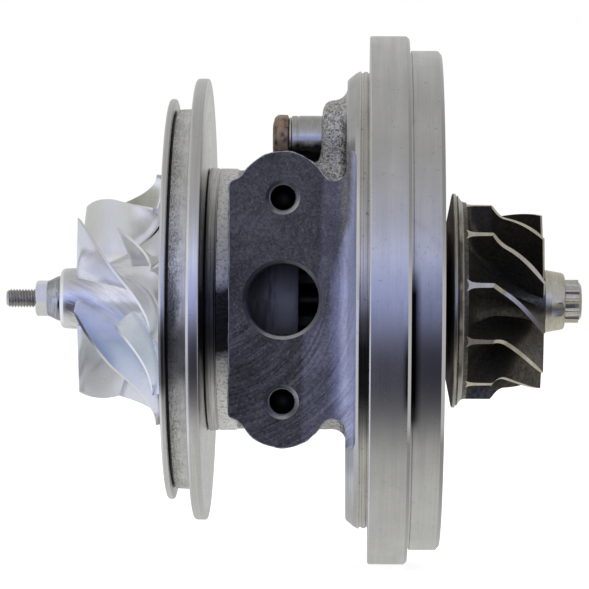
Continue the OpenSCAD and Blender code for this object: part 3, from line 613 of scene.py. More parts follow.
def surface_nets(F, org, h):
    """closed quad mesh of the zero level of a sampled distance field"""
    S = F < 0
    nx, ny, nz = F.shape
    corners = [(a, b, c) for a in (0, 1) for b in (0, 1) for c in (0, 1)]
    subs = [S[a : nx - 1 + a, b : ny - 1 + b, c : nz - 1 + c] for a, b, c in corners]
    some = np.logical_or.reduce(subs)
    every = np.logical_and.reduce(subs)
    mixed = some & ~every
    ids = np.argwhere(mixed)
    idx = np.full(mixed.shape, -1, np.int64)
    idx[mixed] = np.arange(len(ids))
    acc = np.zeros((len(ids), 3))
    cnt = np.zeros(len(ids))
    for i, a in enumerate(corners):
        for b in corners[i + 1 :]:
            if sum(abs(x - y) for x, y in zip(a, b)) != 1:
                continue
            fa = F[ids[:, 0] + a[0], ids[:, 1] + a[1], ids[:, 2] + a[2]]
            fb = F[ids[:, 0] + b[0], ids[:, 1] + b[1], ids[:, 2] + b[2]]
            c = (fa < 0) != (fb < 0)
            t = np.where(c, fa / np.where(c, fa - fb, 1.0), 0.0)
            p = np.array(a) + t[:, None] * (np.array(b) - np.array(a))
            acc[c] += p[c]
            cnt[c] += 1
    verts = org + h * (ids + acc / cnt[:, None])
    quads = []
    for ax in range(3):
        o1, o2 = [(1, 2), (2, 0), (0, 1)][ax]
        lo = [slice(None)] * 3
        hi = [slice(None)] * 3
        lo[ax], hi[ax] = slice(0, -1), slice(1, None)
        cr = S[tuple(lo)] != S[tuple(hi)]
        e = np.argwhere(cr)
        e = e[(e[:, o1] > 0) & (e[:, o2] > 0) & (e[:, o1] < F.shape[o1] - 1) & (e[:, o2] < F.shape[o2] - 1)]
        d1 = np.zeros(3, int)
        d2 = np.zeros(3, int)
        d1[o1], d2[o2] = 1, 1
        q = np.stack([idx[tuple((e - d1 - d2).T)], idx[tuple((e - d2).T)], idx[tuple(e.T)], idx[tuple((e - d1).T)]], 1)
        flip = S[tuple(e.T)]
        q[~flip] = q[~flip][:, ::-1]
        quads.append(q)
    return verts, np.concatenate(quads)


def smin(a, b, k):
    h = np.clip(0.5 + 0.5 * (b - a) / k, 0, 1)
    return b * (1 - h) + a * h - k * h * (1 - h)


# ------------------------------------------------------------------ centre housing
NECK_X, DRAIN_Y, DRAIN_X, PITCH = -53.5, 45.0, -32.7, 52.4
CRANK = (-3.0, 43.2)
FEED_X, FEED_Y = -29.0, 41.0


def cast_blank():
    h = 0.62
    lo = np.array([-49.6, -61.0, -61.0])
    hi = np.array([-10.5, 61.0, 61.0])
    n = np.ceil((hi - lo) / h).astype(int) + 1
    g = [lo[i] + h * np.arange(n[i]) for i in range(3)]
    X, Y, Z = np.meshgrid(*g, indexing="ij")

    def cyl_x(r, x0, x1, cy=0.0, cz=0.0):
        return np.maximum(np.hypot(Y - cy, Z - cz) - r, np.abs(X - (x0 + x1) / 2) - (x1 - x0) / 2)

    def cyl_y(r, cx, cz, y0, y1, draft=0.0):
        return np.maximum(np.hypot(X - cx, Z - cz) - r - draft * (Y - y0), np.abs(Y - (y0 + y1) / 2) - (y1 - y0) / 2)

    def box(x0, x1, y0, y1, z0, z1, r=0.0):
        q = [np.abs(c - (a + b) / 2) - (b - a) / 2 + r for c, a, b in ((X, x0, x1), (Y, y0, y1), (Z, z0, z1))]
        return np.sqrt(sum(np.maximum(c, 0) ** 2 for c in q)) + np.minimum(np.maximum(np.maximum(q[0], q[1]), q[2]), 0) - r

    body = cyl_x(34.9, -60, 0)
    block = box(-46.4, -15.4, -70, -8, -30.2, 30.2, 0.4)
    lobes = np.minimum(cyl_y(11.7, DRAIN_X, PITCH / 2, -70, -10, 0.0), cyl_y(11.7, DRAIN_X, -PITCH / 2, -70, -10, 0.0))
    pad = smin(block, lobes, 2.6)
    f = smin(body, pad, 1.4)
    rr = 3.2
    q0, q1 = np.hypot(Y - CRANK[0], Z - CRANK[1]) - (10.6 - rr), np.abs(X + 9.0) - (14.1 - rr)
    head = np.hypot(np.maximum(q0, 0), np.maximum(q1, 0)) + np.minimum(np.maximum(q0, q1), 0) - rr
    boss = smin(head, box(-22.8, 5, CRANK[0] - 10.4, CRANK[0] + 10.4, 20, CRANK[1] + 0.5, rr), 1.5)
    f = smin(f, boss, 6.0)
    f = smin(f, cyl_y(11.0, FEED_X, 0, 10, FEED_Y + 4), 5.0)
    # cast fillets where the pads run into the disc
    slab = np.maximum(np.hypot(Y, Z) - 57.5, -(X + 16.2))
    f = smin(f, slab, 4.5)
    # the pads stay clear of the disc face, and the whole blank ends inside the disc
    f = np.maximum(f, X + 12.4)
    P = np.stack([X.ravel(), Y.ravel(), Z.ravel()], 1)
    near = np.abs(f.ravel()) < 2.5
    d = np.zeros(len(P))
    d[near] = 0.16 * value_noise(P[near], 0.45, 3) + 0.1 * value_noise(P[near], 1.1, 5)
    f = f + d.reshape(f.shape)
    # close the field at the border
    for ax in range(3):
        for end in (0, -1):
            s = [slice(None)] * 3
            s[ax] = end
            f[tuple(s)] = np.maximum(f[tuple(s)], 0.3 * h)
    v, q = surface_nets(f, lo, h)
    k = (-DRAIN_Y - lo[1]) / h
    j = int(math.floor(k))
    plane = f[:, j, :] * (1 - (k - j)) + f[:, j + 1, :] * (k - j)
    keep = int((-16.5 - lo[0]) / h)
    return make_object("centre_housing_v", v, q, ["cast"], None, 60.0), contour(plane[:keep], g[0][:keep], g[2])


def contour(F, gx, gz):
    """longest open or closed zero line of a sampled plane, as (x, z) points"""
    adj = {}

    def point(key):
        i, j, k = key
        a = F[i, j]
        b = F[i + 1, j] if k == 0 else F[i, j + 1]
        t = a / (a - b)
        return (gx[i] + (t * (gx[1] - gx[0]) if k == 0 else 0.0), gz[j] + (t * (gz[1] - gz[0]) if k == 1 else 0.0))

    inside = F < 0
    for i in range(F.shape[0] - 1):
        for j in range(F.shape[1] - 1):
            if inside[i : i + 2, j : j + 2].all() or not inside[i : i + 2, j : j + 2].any():
                continue
            e = []
            for key, a, b in (((i, j, 0), (i, j), (i + 1, j)), ((i + 1, j, 1), (i + 1, j), (i + 1, j + 1)), ((i, j + 1, 0), (i, j + 1), (i + 1, j + 1)), ((i, j, 1), (i, j), (i, j + 1))):
                if inside[a] != inside[b]:
                    e.append(key)
            for a, b in zip(e[0::2], e[1::2]):
                adj.setdefault(a, []).append(b)
                adj.setdefault(b, []).append(a)
    lines, seen = [], set()
    for start in sorted(adj, key=lambda c: (len(adj[c]), c)):
        if start in seen:
            continue
        line, cur = [], start
        while cur is not None:
            seen.add(cur)
            line.append(point(cur))
            cur = next((c for c in adj[cur] if c not in seen), None)
        lines.append(line)
    return max(lines, key=len)


def build_burr(line):
    """thin bright burr along the rim of the milled face"""
    L = np.array(line)
    for _ in range(2):
        L[1:-1] = 0.25 * L[:-2] + 0.5 * L[1:-1] + 0.25 * L[2:]
    T = np.gradient(L, axis=0)
    T /= np.linalg.norm(T, axis=1, keepdims=True) + 1e-9
    side = np.stack([T[:, 1], -T[:, 0]], 1)
    V, F = [], []
    n = 6
    w = 0.15 + 0.06 * np.sin(np.arange(len(L)) * 0.7) * np.sin(np.arange(len(L)) * 0.23)
    for i in range(len(L)):
        for a in range(n):
            c, sn = math.cos(2 * math.pi * a / n), math.sin(2 * math.pi * a / n)
            V.append((L[i, 0] + side[i, 0] * w[i] * c, -DRAIN_Y + 0.05 + w[i] * sn, L[i, 1] + side[i, 1] * w[i] * c))
    for i in range(len(L) - 1):
        for a in range(n):
            b = (a + 1) % n
            F.append((i * n + a, i * n + b, (i + 1) * n + b, (i + 1) * n + a))
    F.append(tuple(range(n))[::-1])
    F.append(tuple(range((len(L) - 1) * n, len(L) * n)))
    ob = make_object("drain_face_burr", V, F, ["edge"], None, 60.0)
    W = np.array(V)
    vol = sum(np.dot(W[f[0]], np.cross(W[f[i]], W[f[i + 1]])) for f in F for i in range(1, len(f) - 1))
    if vol < 0:
        ob.data.flip_normals()
    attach(ob, "housing")


def disc_slot(r, x):
    if 59.0 < r < 61.59 and x < -13.05:
        return 1 if x < -14.35 else 4
    if 60.9 < r < 61.7 and x < -10.4:
        return 2
    if r > 70.3 and -0.85 < x < -0.02:
        return 6
    if r > 71.0:
        return 5
    if x > 7.6 and 66.1 < r < 67.19:
        return 6
    return 3 if x > 0.02 and r > 61 else 0


def build_housing():
    ob, rim_line = cast_blank()
    build_burr(rim_line)
    # the neck's first 0.45 mm takes the near-black finish as painted shade in the joint with the backplate
    neck = lathe("neck", rounded([(20, NECK_X), (34.4, NECK_X), (34.4, NECK_X + 0.4), (35.5, NECK_X + 0.4, 0.2), (35.5, NECK_X + 1.7), (35.42, NECK_X + 1.8), (35.42, NECK_X + 2.7), (35.15, NECK_X + 2.85),
                                  (35.15, NECK_X + 3.1), (35.35, NECK_X + 3.3, 0.15), (35.3, NECK_X + 7.6, 0.8), (34.2, NECK_X + 9.0, 0.3), (20, NECK_X + 9.0)], 0.12, 2),
                 ["neck", "neck_cast", "oil_and_shade"], 256, lambda r, x: 1 if x > NECK_X + 3.15 else (2 if x < NECK_X + 0.45 else 0))
    disc = lathe("disc", rounded([(10, -20), (30, -20), (30, -16.4, 0), (59.2, -16.4, 1.0), (61.0, -14.2, 0.4), (61.6, -13.1, 0.1), (61.6, -12.8, 0.05), (61.2, -12.7, 0.05), (61.2, -12.1, 0.05), (61.5, -12.0, 0.05), (61.5, -11.0, 0.05), (61.1, -10.9, 0.05), (61.1, -10.45, 0), (70.75, -10.45, 0.1), (71.1, -10.1, 0.1),
                                  (71.1, -0.8, 0.06), (70.4, 0, 0.06), (66.75, 0, 0.1), (66.75, 0.55, 0.1), (67.2, 0.65, 0.05), (67.2, 7.65, 0.1), (66.2, 8.6, 0.15), (60.5, 8.6, 0.6), (60.5, -7, 0.8), (37, -7, 0.8), (34, -1, 0.4), (27, -1, 0.3), (26, -8, 0.5), (15.5, -8, 0.5),
                                  (14.5, -1, 0.3), (12.5, -1, 0), (12.5, 1.5, 0.3), (10, 1.5)], 0.2, 4),
                 ["turned", "disc_edge", "disc_rim", "pilot", "disc_lip", "flange", "flange_edge"], 320, disc_slot)
    core = lathe("core", [(0, -18.5), (11.5, -18.5), (11.5, 1.0), (0, 1.0)], ["bore"], 96)
    combine(ob, [neck, disc, core], "UNION")
    # oil cavity with the two bearing hubs, then the feed web, then the bores
    cavity = lathe("cavity", [(0, -29.3), (11.9, -29.3), (12.5, -29.9), (12.5, -44), (28, -44), (28, -17), (12.5, -17), (12.5, -21.1), (11.9, -21.7), (0, -21.7)], ["bore", "hub", "hub_edge"], 128,
                   lambda r, x: 2 if 11.8 < r < 12.5 else (1 if r < 12.6 else 0))
    combine(ob, [cavity], "DIFFERENCE")
    combine(ob, [prism("web", [(-46, 4), (-14, 4), (-14, 31), (-46, 31)], -7, 7, ["oil_and_shade"])], "UNION")
    bore = [(0, -60), (24, -60), (24, -47.7), (9.2, -47.7), (9.2, -45.7), (6.06, -45.7)]
    for x in (-45.3, -34.1, -21.1, -9.9):
        bore += [(6.06, x), (6.8, x), (6.8, x + 0.8), (6.06, x + 0.8)]
    bore += [(6.06, -8.5), (8.25, -8.5), (8.25, 9), (0, 9)]
    axis = lathe("axis", bore, ["bore"], 128)
    # face cutter with its corner radius
    R, wx = 5.0, -13.8
    arc = [(wx - R + R * math.cos(a), -DRAIN_Y - R + R * math.sin(a)) for a in np.radians(np.arange(90, -1, -3.0))]
    face = prism("face", [(-80, -DRAIN_Y)] + arc + [(wx, -95), (-80, -95)], -58, 58, ["milled"])
    # the drain and tap countersinks carry painted highlight and painted shade from their materials
    drain = lathe("drain", [(0, -60), (12, -60), (12, -46.75), (9.4, -44.15), (9.4, -20), (0, -20)], ["bore", "shaded_csk_mid"], 128,
                  lambda r, x: 1 if -46.6 < x < -43.9 and 9.4 < r < 12 else 0, (DRAIN_X, 0), axis="Y")
    tools = [axis, face, drain]
    for s in (-1, 1):
        prof = [(0, -60), (7, -60), (7, -47.55)]
        prof += [(3.6, -44.15)]
        y = -44.1
        while y < -29:
            prof += [(3.95, y + 0.15), (3.3, y + 0.62)]
            y += 1.25
        prof += [(3.3, -28.0), (0, -26.2)]
        # painted shade: the deep end of each tapped hole takes the near-black finish
        tools.append(lathe("tap", prof, ["bore", "shaded_csk_top" if s > 0 else "shaded_csk_low", "oil_and_shade"], 64, lambda r, x: 1 if x < -44.2 else (2 if x > -38 else 0), (DRAIN_X, s * PITCH / 2), axis="Y"))
    feed = [(0, 28.0), (4.5, 28.0), (4.5, FEED_Y - 1), (5.9, FEED_Y + 0.4), (5.9, 60), (0, 60)]
    tools.append(lathe("feed", feed, ["bore", "chamfer"], 64, lambda r, x: 1 if r > 4.6 else 0, (FEED_X, 0), axis="Y"))
    tools.append(prism("feedtop", [(-44, FEED_Y), (-17.2, FEED_Y), (-17.2, 56), (-44, 56)], -14, 14, ["turned"]))
    tools.append(lathe("crankbore", [(0, -40), (6.2, -40), (6.2, -6.8), (0, -6.8)], ["bore"], 96, None, CRANK))
    # oil return from the thrust pocket
    tools.append(prism("return", [(-48.7, -23), (-42.7, -23), (-42.7, -13.5), (-48.7, -13.5)], -8, 8, ["bore"]))
    for a in (45, 135, 225, 315):
        t = math.radians(a)
        tools.append(lathe("screwhole", [(0, -60), (2.5, -60), (2.5, -44.5), (0, -43.6)], ["bore"], 32, None, (-29.6 * math.sin(t), 29.6 * math.cos(t))))
    combine(ob, tools, "DIFFERENCE", 32.0)
    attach(ob, "housing")
    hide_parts("centre_housing")
    return ob


# ------------------------------------------------------------------ backplate
def build_backplate():
    pts = [(7.65, -60.1), (10, -60.1), (35.1, -62.6), (35.1, -64.0, 0.3), (54, -64.0, 0.7), (54, -62.35, 0.4), (49.6, -62.35, 0.1), (49.6, -61.75, 0.1), (51.1, -61.75, 0.2), (51.4, -56.7, 0.4), (54.3, -56.7, 0.1), (54.3, -56.9, 0.1),
           (59.5, -56.9, 0.9), (59.5, -53.5, 0.5), (23.95, -53.5), (23.95, -52.4), (22.5, -52.4), (22.5, -50.6), (23.95, -50.6), (23.95, -49.6), (18.2, -49.6), (18.2, -55.5), (7.65, -55.5)]
    # painted shade: the narrow gap beside the lip takes the near-black finish
    ob = lathe("backplate_v", rounded(pts, 0.2, 3), ["turned", "groove", "oil_and_shade", "rim", "lip", "back"], 320,
               lambda r, x: 2 if (49.0 < r < 51.0 and -62.4 < x < -61.5) else (1 if (50.9 < r < 54.2 and -61.8 < x < -56.6) else (3 if r > 59.2 else (4 if r > 52.5 and x < -62.3 else (5 if r > 30 and x > -53.6 else 0)))))
    tools = []
    for a in (45, 135, 225, 315):
        t = math.radians(a)
        tools.append(lathe("csk", [(0, -65), (4.8, -65), (4.8, -61.5), (2.75, -59.45), (2.75, -48), (0, -48)], ["turned"], 48, None, (-29.6 * math.sin(t), 29.6 * math.cos(t))))
    combine(ob, tools, "DIFFERENCE", 32.0)
    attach(ob, "housing")
    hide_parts("compressor_backplate")


# ------------------------------------------------------------------ wheels
def polar(x, r, t):
    return np.stack([x, -r * np.sin(t), r * np.cos(t)], -1)


def c_hub(m):
    return -89.0 + 24.5 * np.sin(np.pi / 2 * m), 34.5 - 26.2 * np.cos(np.pi / 2 * m)


def c_tip(m):
    psi = np.radians(150 * (m - 0.4))
    x = np.where(m < 0.4, -87.7 + 9.7 * m / 0.4, -78.0 + 10.7 * np.sin(psi))
    r = np.where(m < 0.4, 26.9, 34.5 - 7.6 * np.cos(psi))
    return x, r


def c_mid(m, s):
    hx, hr = c_hub(m)
    tx, tr = c_tip(m)
    hr = hr - 0.8
    th = np.radians(70 * (1.45 * m - 0.45 * m * m))
    return polar(hx + (tx - hx) * s, hr + (tr - hr) * s, th)


def t_hub(m):
    return 15.7 + 20.8 * (1 - np.cos(np.pi / 2 * m)), 26.5 - 17.9 * np.sin(np.pi / 2 * m)


def t_tip(m):
    x = 22.3 + 13.4 * m
    k = np.maximum(0, 1 - (x - 22.3) / 3.7)
    return x, 23.5 + 3.0 * k * k


def t_mid(m, s):
    hx, hr = t_hub(m)
    tx, tr = t_tip(m)
    w = np.clip((m - 0.3) / 0.4, 0, 1)
    hx = hx - 0.7 * (1 - w)
    hr = hr - 0.8 * w
    x = hx + (tx - hx) * s
    u = np.maximum(0, (x - 22.3) / 13.4)
    return polar(x, hr + (tr - hr) * s, np.radians(30 * (0.45 * u + 0.55 * u * u)))


def blade_mesh(mid, half, m0, nm, ns, turn):
    """closed blade: returns vertices, quads and slots (0 face, 1 tip edge)"""
    m = np.linspace(m0, 1.0, nm)[:, None] * np.ones((1, ns))
    s = np.linspace(0.0, 1.0, ns)[None, :] * np.ones((nm, 1))
    e = 1e-3
    P = mid(m, s)
    A = mid(np.minimum(m + e, 1), s) - mid(np.maximum(m - e, m0 if m0 > 0 else 0), s)
    B = mid(m, s + e) - mid(m, s - e)
    N = np.cross(A, B)
    N /= np.linalg.norm(N, axis=-1, keepdims=True)
    step = np.linalg.norm(np.diff(P, axis=0), axis=-1)
    d = np.concatenate([np.zeros((1, ns)), np.cumsum(step, 0)], 0)
    span = np.linalg.norm(P - P[:, :1], axis=-1)
    t = half(s, d, span, d[-1:] - d)[..., None]
    up, dn = P + N * t, P - N * t
    V = np.concatenate([up.reshape(-1, 3), dn.reshape(-1, 3)])
    k = nm * ns
    idx = np.arange(k).reshape(nm, ns)
    F, I = [], []

    def quad(a, b, c, dd, mat=0):
        F.append((a, b, c, dd))
        I.append(mat)

    for i in range(nm - 1):
        for j in range(ns - 1):
            quad(idx[i, j], idx[i + 1, j], idx[i + 1, j + 1], idx[i, j + 1])
            quad(k + idx[i, j], k + idx[i, j + 1], k + idx[i + 1, j + 1], k + idx[i + 1, j])
        quad(idx[i, -1], idx[i + 1, -1], k + idx[i + 1, -1], k + idx[i, -1], 1)
        quad(idx[i + 1, 0], idx[i, 0], k + idx[i, 0], k + idx[i + 1, 0])
    for j in range(ns - 1):
        quad(idx[0, j], idx[0, j + 1], k + idx[0, j + 1], k + idx[0, j], 1)
        quad(idx[-1, j + 1], idx[-1, j], k + idx[-1, j], k + idx[-1, j + 1], 1)
    c, sn = math.cos(turn), math.sin(turn)
    R = np.array([[1, 0, 0], [0, c, -sn], [0, sn, c]])
    V = V @ R.T
    return V, F, I


def blade_object(name, mid, half, m0, nm, ns, turn, mats):
    V, F, I = blade_mesh(mid, half, m0, nm, ns, turn)
    ob = make_object(name, V, F, mats, I, 40.0)
    # outward faces
    vol = 0.0
    for f in F:
        a, b, c, d = (V[i] for i in f)
        vol += np.dot(a, np.cross(b, c)) + np.dot(a, np.cross(c, d))
    if vol < 0:
        ob.data.flip_normals()
    return ob


def build_compressor():
    m = np.linspace(0, 1, 40)
    hx, hr = c_hub(m)
    prof = [(2.5, -93.5), (7.0, -93.5), (7.55, -93.3), (7.9, -92.9), (8.08, -92.3), (8.15, -91.0)] + [(float(r), float(x)) for r, x in zip(hr, hx)]
    prof += [(34.5, -63.7), (34.3, -63.3), (30, -62.75), (12, -61.1), (9, -60.8), (7.2, -60.5), (2.5, -60.5)]
    ob = lathe("compressor_wheel_v", prof, ["alu", "alu_tip"], 240, lambda r, x: 1 if x < -92 else 0, angle=28)

    def half(s, d, span, dte):
        t = 0.34 + 0.42 * (1 - s) ** 1.4 + 0.75 * np.exp(-np.maximum(span - 0.8, 0) / 0.7)
        lead = np.sqrt(np.clip(1 - (1 - np.clip(d / 1.6, 0, 1)) ** 2, 0, 1))
        return t * (0.28 + 0.72 * lead)

    nm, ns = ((44, 16))
    tools = []
    for k in range(6):
        tools.append(blade_object("b", c_mid, half, 0.0, nm, ns, math.radians(37.5 + 60 * k), ["alu", "alu_tip"]))
        tools.append(blade_object("b", c_mid, half, 0.43, nm * 2 // 3, ns, math.radians(67.5 + 60 * k), ["alu", "alu_tip"]))
    combine(ob, tools, "UNION", 38.0)
    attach(ob, "rotor")
    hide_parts("compressor_wheel")


def build_turbine():
    m = np.linspace(0, 1, 36)
    hx, hr = t_hub(m)
    prof = [(0, 6), (8, 6), (8, 7.4), (9.5, 8.6), (20, 10.2), (28.5, 11.85), (28.9, 12.1), (28.9, 12.7), (28.7, 12.85), (28.2, 12.95), (28.2, 13.15), (28.45, 13.3), (27.9, 13.65), (27.2, 14.1), (26.8, 14.5), (26.55, 15.1)]
    prof += [(float(r), float(x)) for r, x in zip(hr, hx)] + [(8.5, 36.9), (8.4, 37.3), (7.65, 41.5), (7.4, 42.0), (6.9, 42.25), (5.2, 42.5), (5.1, 46.1), (4.8, 46.5), (4.3, 46.8), (0, 46.8)]
    # painted shade: the back cone of the turbine disc takes the near-black finish
    ob = lathe("turbine_wheel_v", prof, ["turbine", "turbine_tip", "turbine_hub", "oil_and_shade", "turbine_ring"], 220, lambda r, x: 3 if x < 11.8 else (4 if (11.8 < x < 12.9 and r > 20) or (13.1 < x < 14.55 and r > 20) else (2 if x > 36.8 else 0)), angle=28)

    def half(s, d, span, dte):
        t = 0.56 + 0.2 * (1 - s) ** 1.3 + 0.75 * np.exp(-np.maximum(span - 0.7, 0) / 0.6)
        tail = 0.55 + 0.45 * np.clip(dte / 4.0, 0, 1)
        return t * tail

    nm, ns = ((40, 16))
    tools = [blade_object("b", t_mid, half, 0.0, nm, ns, math.radians(48.5 + 360 / 11 * k), ["turbine", "turbine_tip"]) for k in range(11)]
    star = []
    for k in range(120):
        a = 2 * math.pi * k / 120
        star.append(((5.3 + 0.5 * math.cos(12 * a)) * math.sin(a), (5.3 + 0.5 * math.cos(12 * a)) * math.cos(a)))
    tools.append(prism("star", star, 41.9, 46.1, ["turbine_hub"], "YZ"))
    combine(ob, tools, "UNION", 38.0)
    # balance cuts on the nose
    cuts = []
    for a, rad, depth in ((70, 60.0, 0.75), (107, 5.0, 0.7)):
        t = math.radians(a)
        c = 8.0 + rad - depth
        cuts.append(lathe("bal", [(0, 38.6), (rad, 38.6), (rad, 43), (0, 43)], ["turbine_tip"], 64 if rad < 10 else 360, None, (-c * math.sin(t), c * math.cos(t))))
    combine(ob, cuts, "DIFFERENCE", 38.0)
    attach(ob, "rotor")
    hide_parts("turbine_wheel")


# ------------------------------------------------------------------ shaft, nut, crank, shield
def build_shaft():
    """ground shaft with a rolled M5 thread on its compressor end"""
    seg = 96
    pitch = 0.8
    xs = [-108.3, -108.0] + list(np.arange(-107.8, -92.0, 0.05))
    th = np.linspace(0, 2 * math.pi, seg, endpoint=False)
    X, T = np.meshgrid(np.array(xs), th, indexing="ij")
    ph = (X / pitch + T / (2 * math.pi)) % 1.0
    tri = np.abs(ph - 0.5) * 2.0
    prof = np.clip((tri - 0.12) / 0.74, 0, 1)
    R = 2.06 + 0.42 * prof
    R = np.minimum(R, 1.75 + np.clip((X + 108.3) / 0.9, 0, 1) * 0.73)
    V = np.stack([X, R * np.sin(T), R * np.cos(T)], -1).reshape(-1, 3).tolist()
    n = len(xs)
    F, I = [], []
    for i in range(n - 1):
        for j in range(seg):
            j2 = (j + 1) % seg
            F.append((i * seg + j, (i + 1) * seg + j, (i + 1) * seg + j2, i * seg + j2))
            I.append(1)
    c = len(V)
    V.append([-108.35, 0, 0])
    for j in range(seg):
        F.append((c, j, (j + 1) % seg))
        I.append(1)
    prof = [(2.48, -91.5), (2.48, -46.2), (3.8, -46.2), (4.0, -46.0), (4.0, -33.0), (3.6, -32.6), (3.6, -22.4), (4.0, -22.0), (4.0, -8.6), (4.6, -8.0), (7.6, -8.0), (8.0, -7.6), (8.0, -4.7), (6.5, -4.7), (6.5, -3.0), (8.0, -3.0), (8.0, 5.9), (8.0, 6.0)]
    base = (n - 1) * seg
    for r, x in prof:
        s = len(V)
        V += [(x, r * math.sin(t), r * math.cos(t)) for t in th]
        for j in range(seg):
            j2 = (j + 1) % seg
            F.append((base + j, s + j, s + j2, base + j2))
            I.append(2 if -46 < x < 0 else 0)
        base = s
    c = len(V)
    V.append((6.0, 0, 0))
    for j in range(seg):
        F.append((base + j, c, base + (j + 1) % seg))
        I.append(0)
    ob = make_object("shaft_v", V, F, ["ground", "thread", "oil_and_shade"], I, 40.0)
    W = np.array(V)
    vol = 0.0
    for f in F:
        for i in range(1, len(f) - 1):
            vol += np.dot(W[f[0]], np.cross(W[f[i]], W[f[i + 1]]))
    if vol < 0:
        ob.data.flip_normals()
    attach(ob, "rotor")
    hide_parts("shaft")


def build_nut():
    hexa = [(5.02 * math.sin(math.radians(60 * k + 18)), 5.02 * math.cos(math.radians(60 * k + 18))) for k in range(6)]
    ob = prism("shaft_nut_v", hexa, -100.3, -96.7, ["nut"], "YZ", 25.0)
    dome = lathe("dome", [(0, -100.3), (4.2, -100.3), (5.3, -99.7), (5.3, -97.4), (4.7, -96.9), (4.7, -96.0), (0, -96.0)], ["nut"], 96)
    combine(ob, [dome], "INTERSECT", 25.0)
    collar = lathe("collar", rounded([(0, -97.2), (4.75, -97.2), (4.9, -96.6), (5.9, -94.6), (6.05, -94.1), (6.05, -93.5), (0, -93.5)], 0.2, 3), ["nut_collar"], 128)
    combine(ob, [collar], "UNION", 25.0)
    bore = lathe("bore", [(0, -102), (3.1, -102), (3.1, -100.6), (2.5, -100.0), (2.5, -92), (0, -92)], ["dark"], 64)
    combine(ob, [bore], "DIFFERENCE", 25.0)
    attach(ob, "rotor")
    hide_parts("shaft_nut")


def build_crank():
    cy, cz = CRANK
    bush = lathe("vane_crank_bush_v", rounded([(3.24, -32.1), (5.8, -32.1, 0.3), (5.95, -31.5, 0.2), (6.35, -31.1, 0.2), (6.35, -29.9, 0.08), (6.2, -29.75, 0.05), (6.2, -29.4, 0.05), (6.35, -29.25, 0.08), (6.35, -23.15, 0.05), (6.19, -23.1, 0.02), (6.19, -7.0, 0.2), (3.24, -7.0)], 0.1, 3),
                 ["polished"], 160, None, CRANK)
    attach(bush, "housing")
    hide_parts("vane_crank_bush")
    sh = lathe("vane_crank_shaft_v", rounded([(0, -36.5), (4.0, -36.4, 1.5), (5.8, -35.9, 1.0), (6.5, -35.1, 0.5), (6.6, -34.2, 0.3), (6.55, -32.5, 0.3), (6.1, -32.2, 0.2), (3.2, -32.2), (3.2, -6.9), (2.8, -6.9), (2.8, -2.6, 0.3), (0, -2.6)], 0.1, 3),
               ["rust", "ground"], 160, lambda r, x: 0 if x < -32.15 else 1, CRANK)
    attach(sh, "vane_crank")
    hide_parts("vane_crank_shaft")


build_housing()
build_backplate()
build_compressor()
build_turbine()
build_shaft()
build_nut()
build_crank()

# ------------------------------------------------------------------ carried-over CAD nodes
PLAIN = {
    "backplate_oring": "rubber",
    "backplate_screws": "dark",
    "heat_shield": "shield",
    "turbine_seal_ring": "dark",
    "compressor_seal_ring": "dark",
    "sealing_sleeve": "ground",
    "thrust_collar": "ground",
    "thrust_bearing": "bronze",
    "thrust_pins": "ground",
    "oil_deflector": "shield",
    "journal_bush_compressor": "bronze",
    "journal_bush_turbine": "bronze",
    "bush_circlips": "dark",
    "vane_crank_arm": "dark",
}
for name, key in PLAIN.items():
    me = nodes[name].data
    me.materials.clear()
    me.materials.append(M[key])

# ------------------------------------------------------------------ stage
def build_stage():
    me = bpy.data.meshes.new("floor")
    s = 6.0
    z = -0.0716
    me.from_pydata([(-s, -s, z), (s, -s, z), (s, s, z), (-s, s, z)], [], [(0, 1, 2, 3)])
    fl = bpy.data.objects.new("floor", me)
    scene.collection.objects.link(fl)
    mat = bpy.data.materials.new("pale_floor")
    mat.use_nodes = True
    b = mat.node_tree.nodes["Principled BSDF"]
    b.inputs["Base Color"].default_value = (0.95, 0.95, 0.95, 1)
    b.inputs["Roughness"].default_value = 0.9
    b.inputs["Emission Color"].default_value = (1, 1, 1, 1)
    b.inputs["Emission Strength"].default_value = 0.75
    me.materials.append(mat)
    fl.visible_glossy = False
    fl.visible_diffuse = False


build_stage()


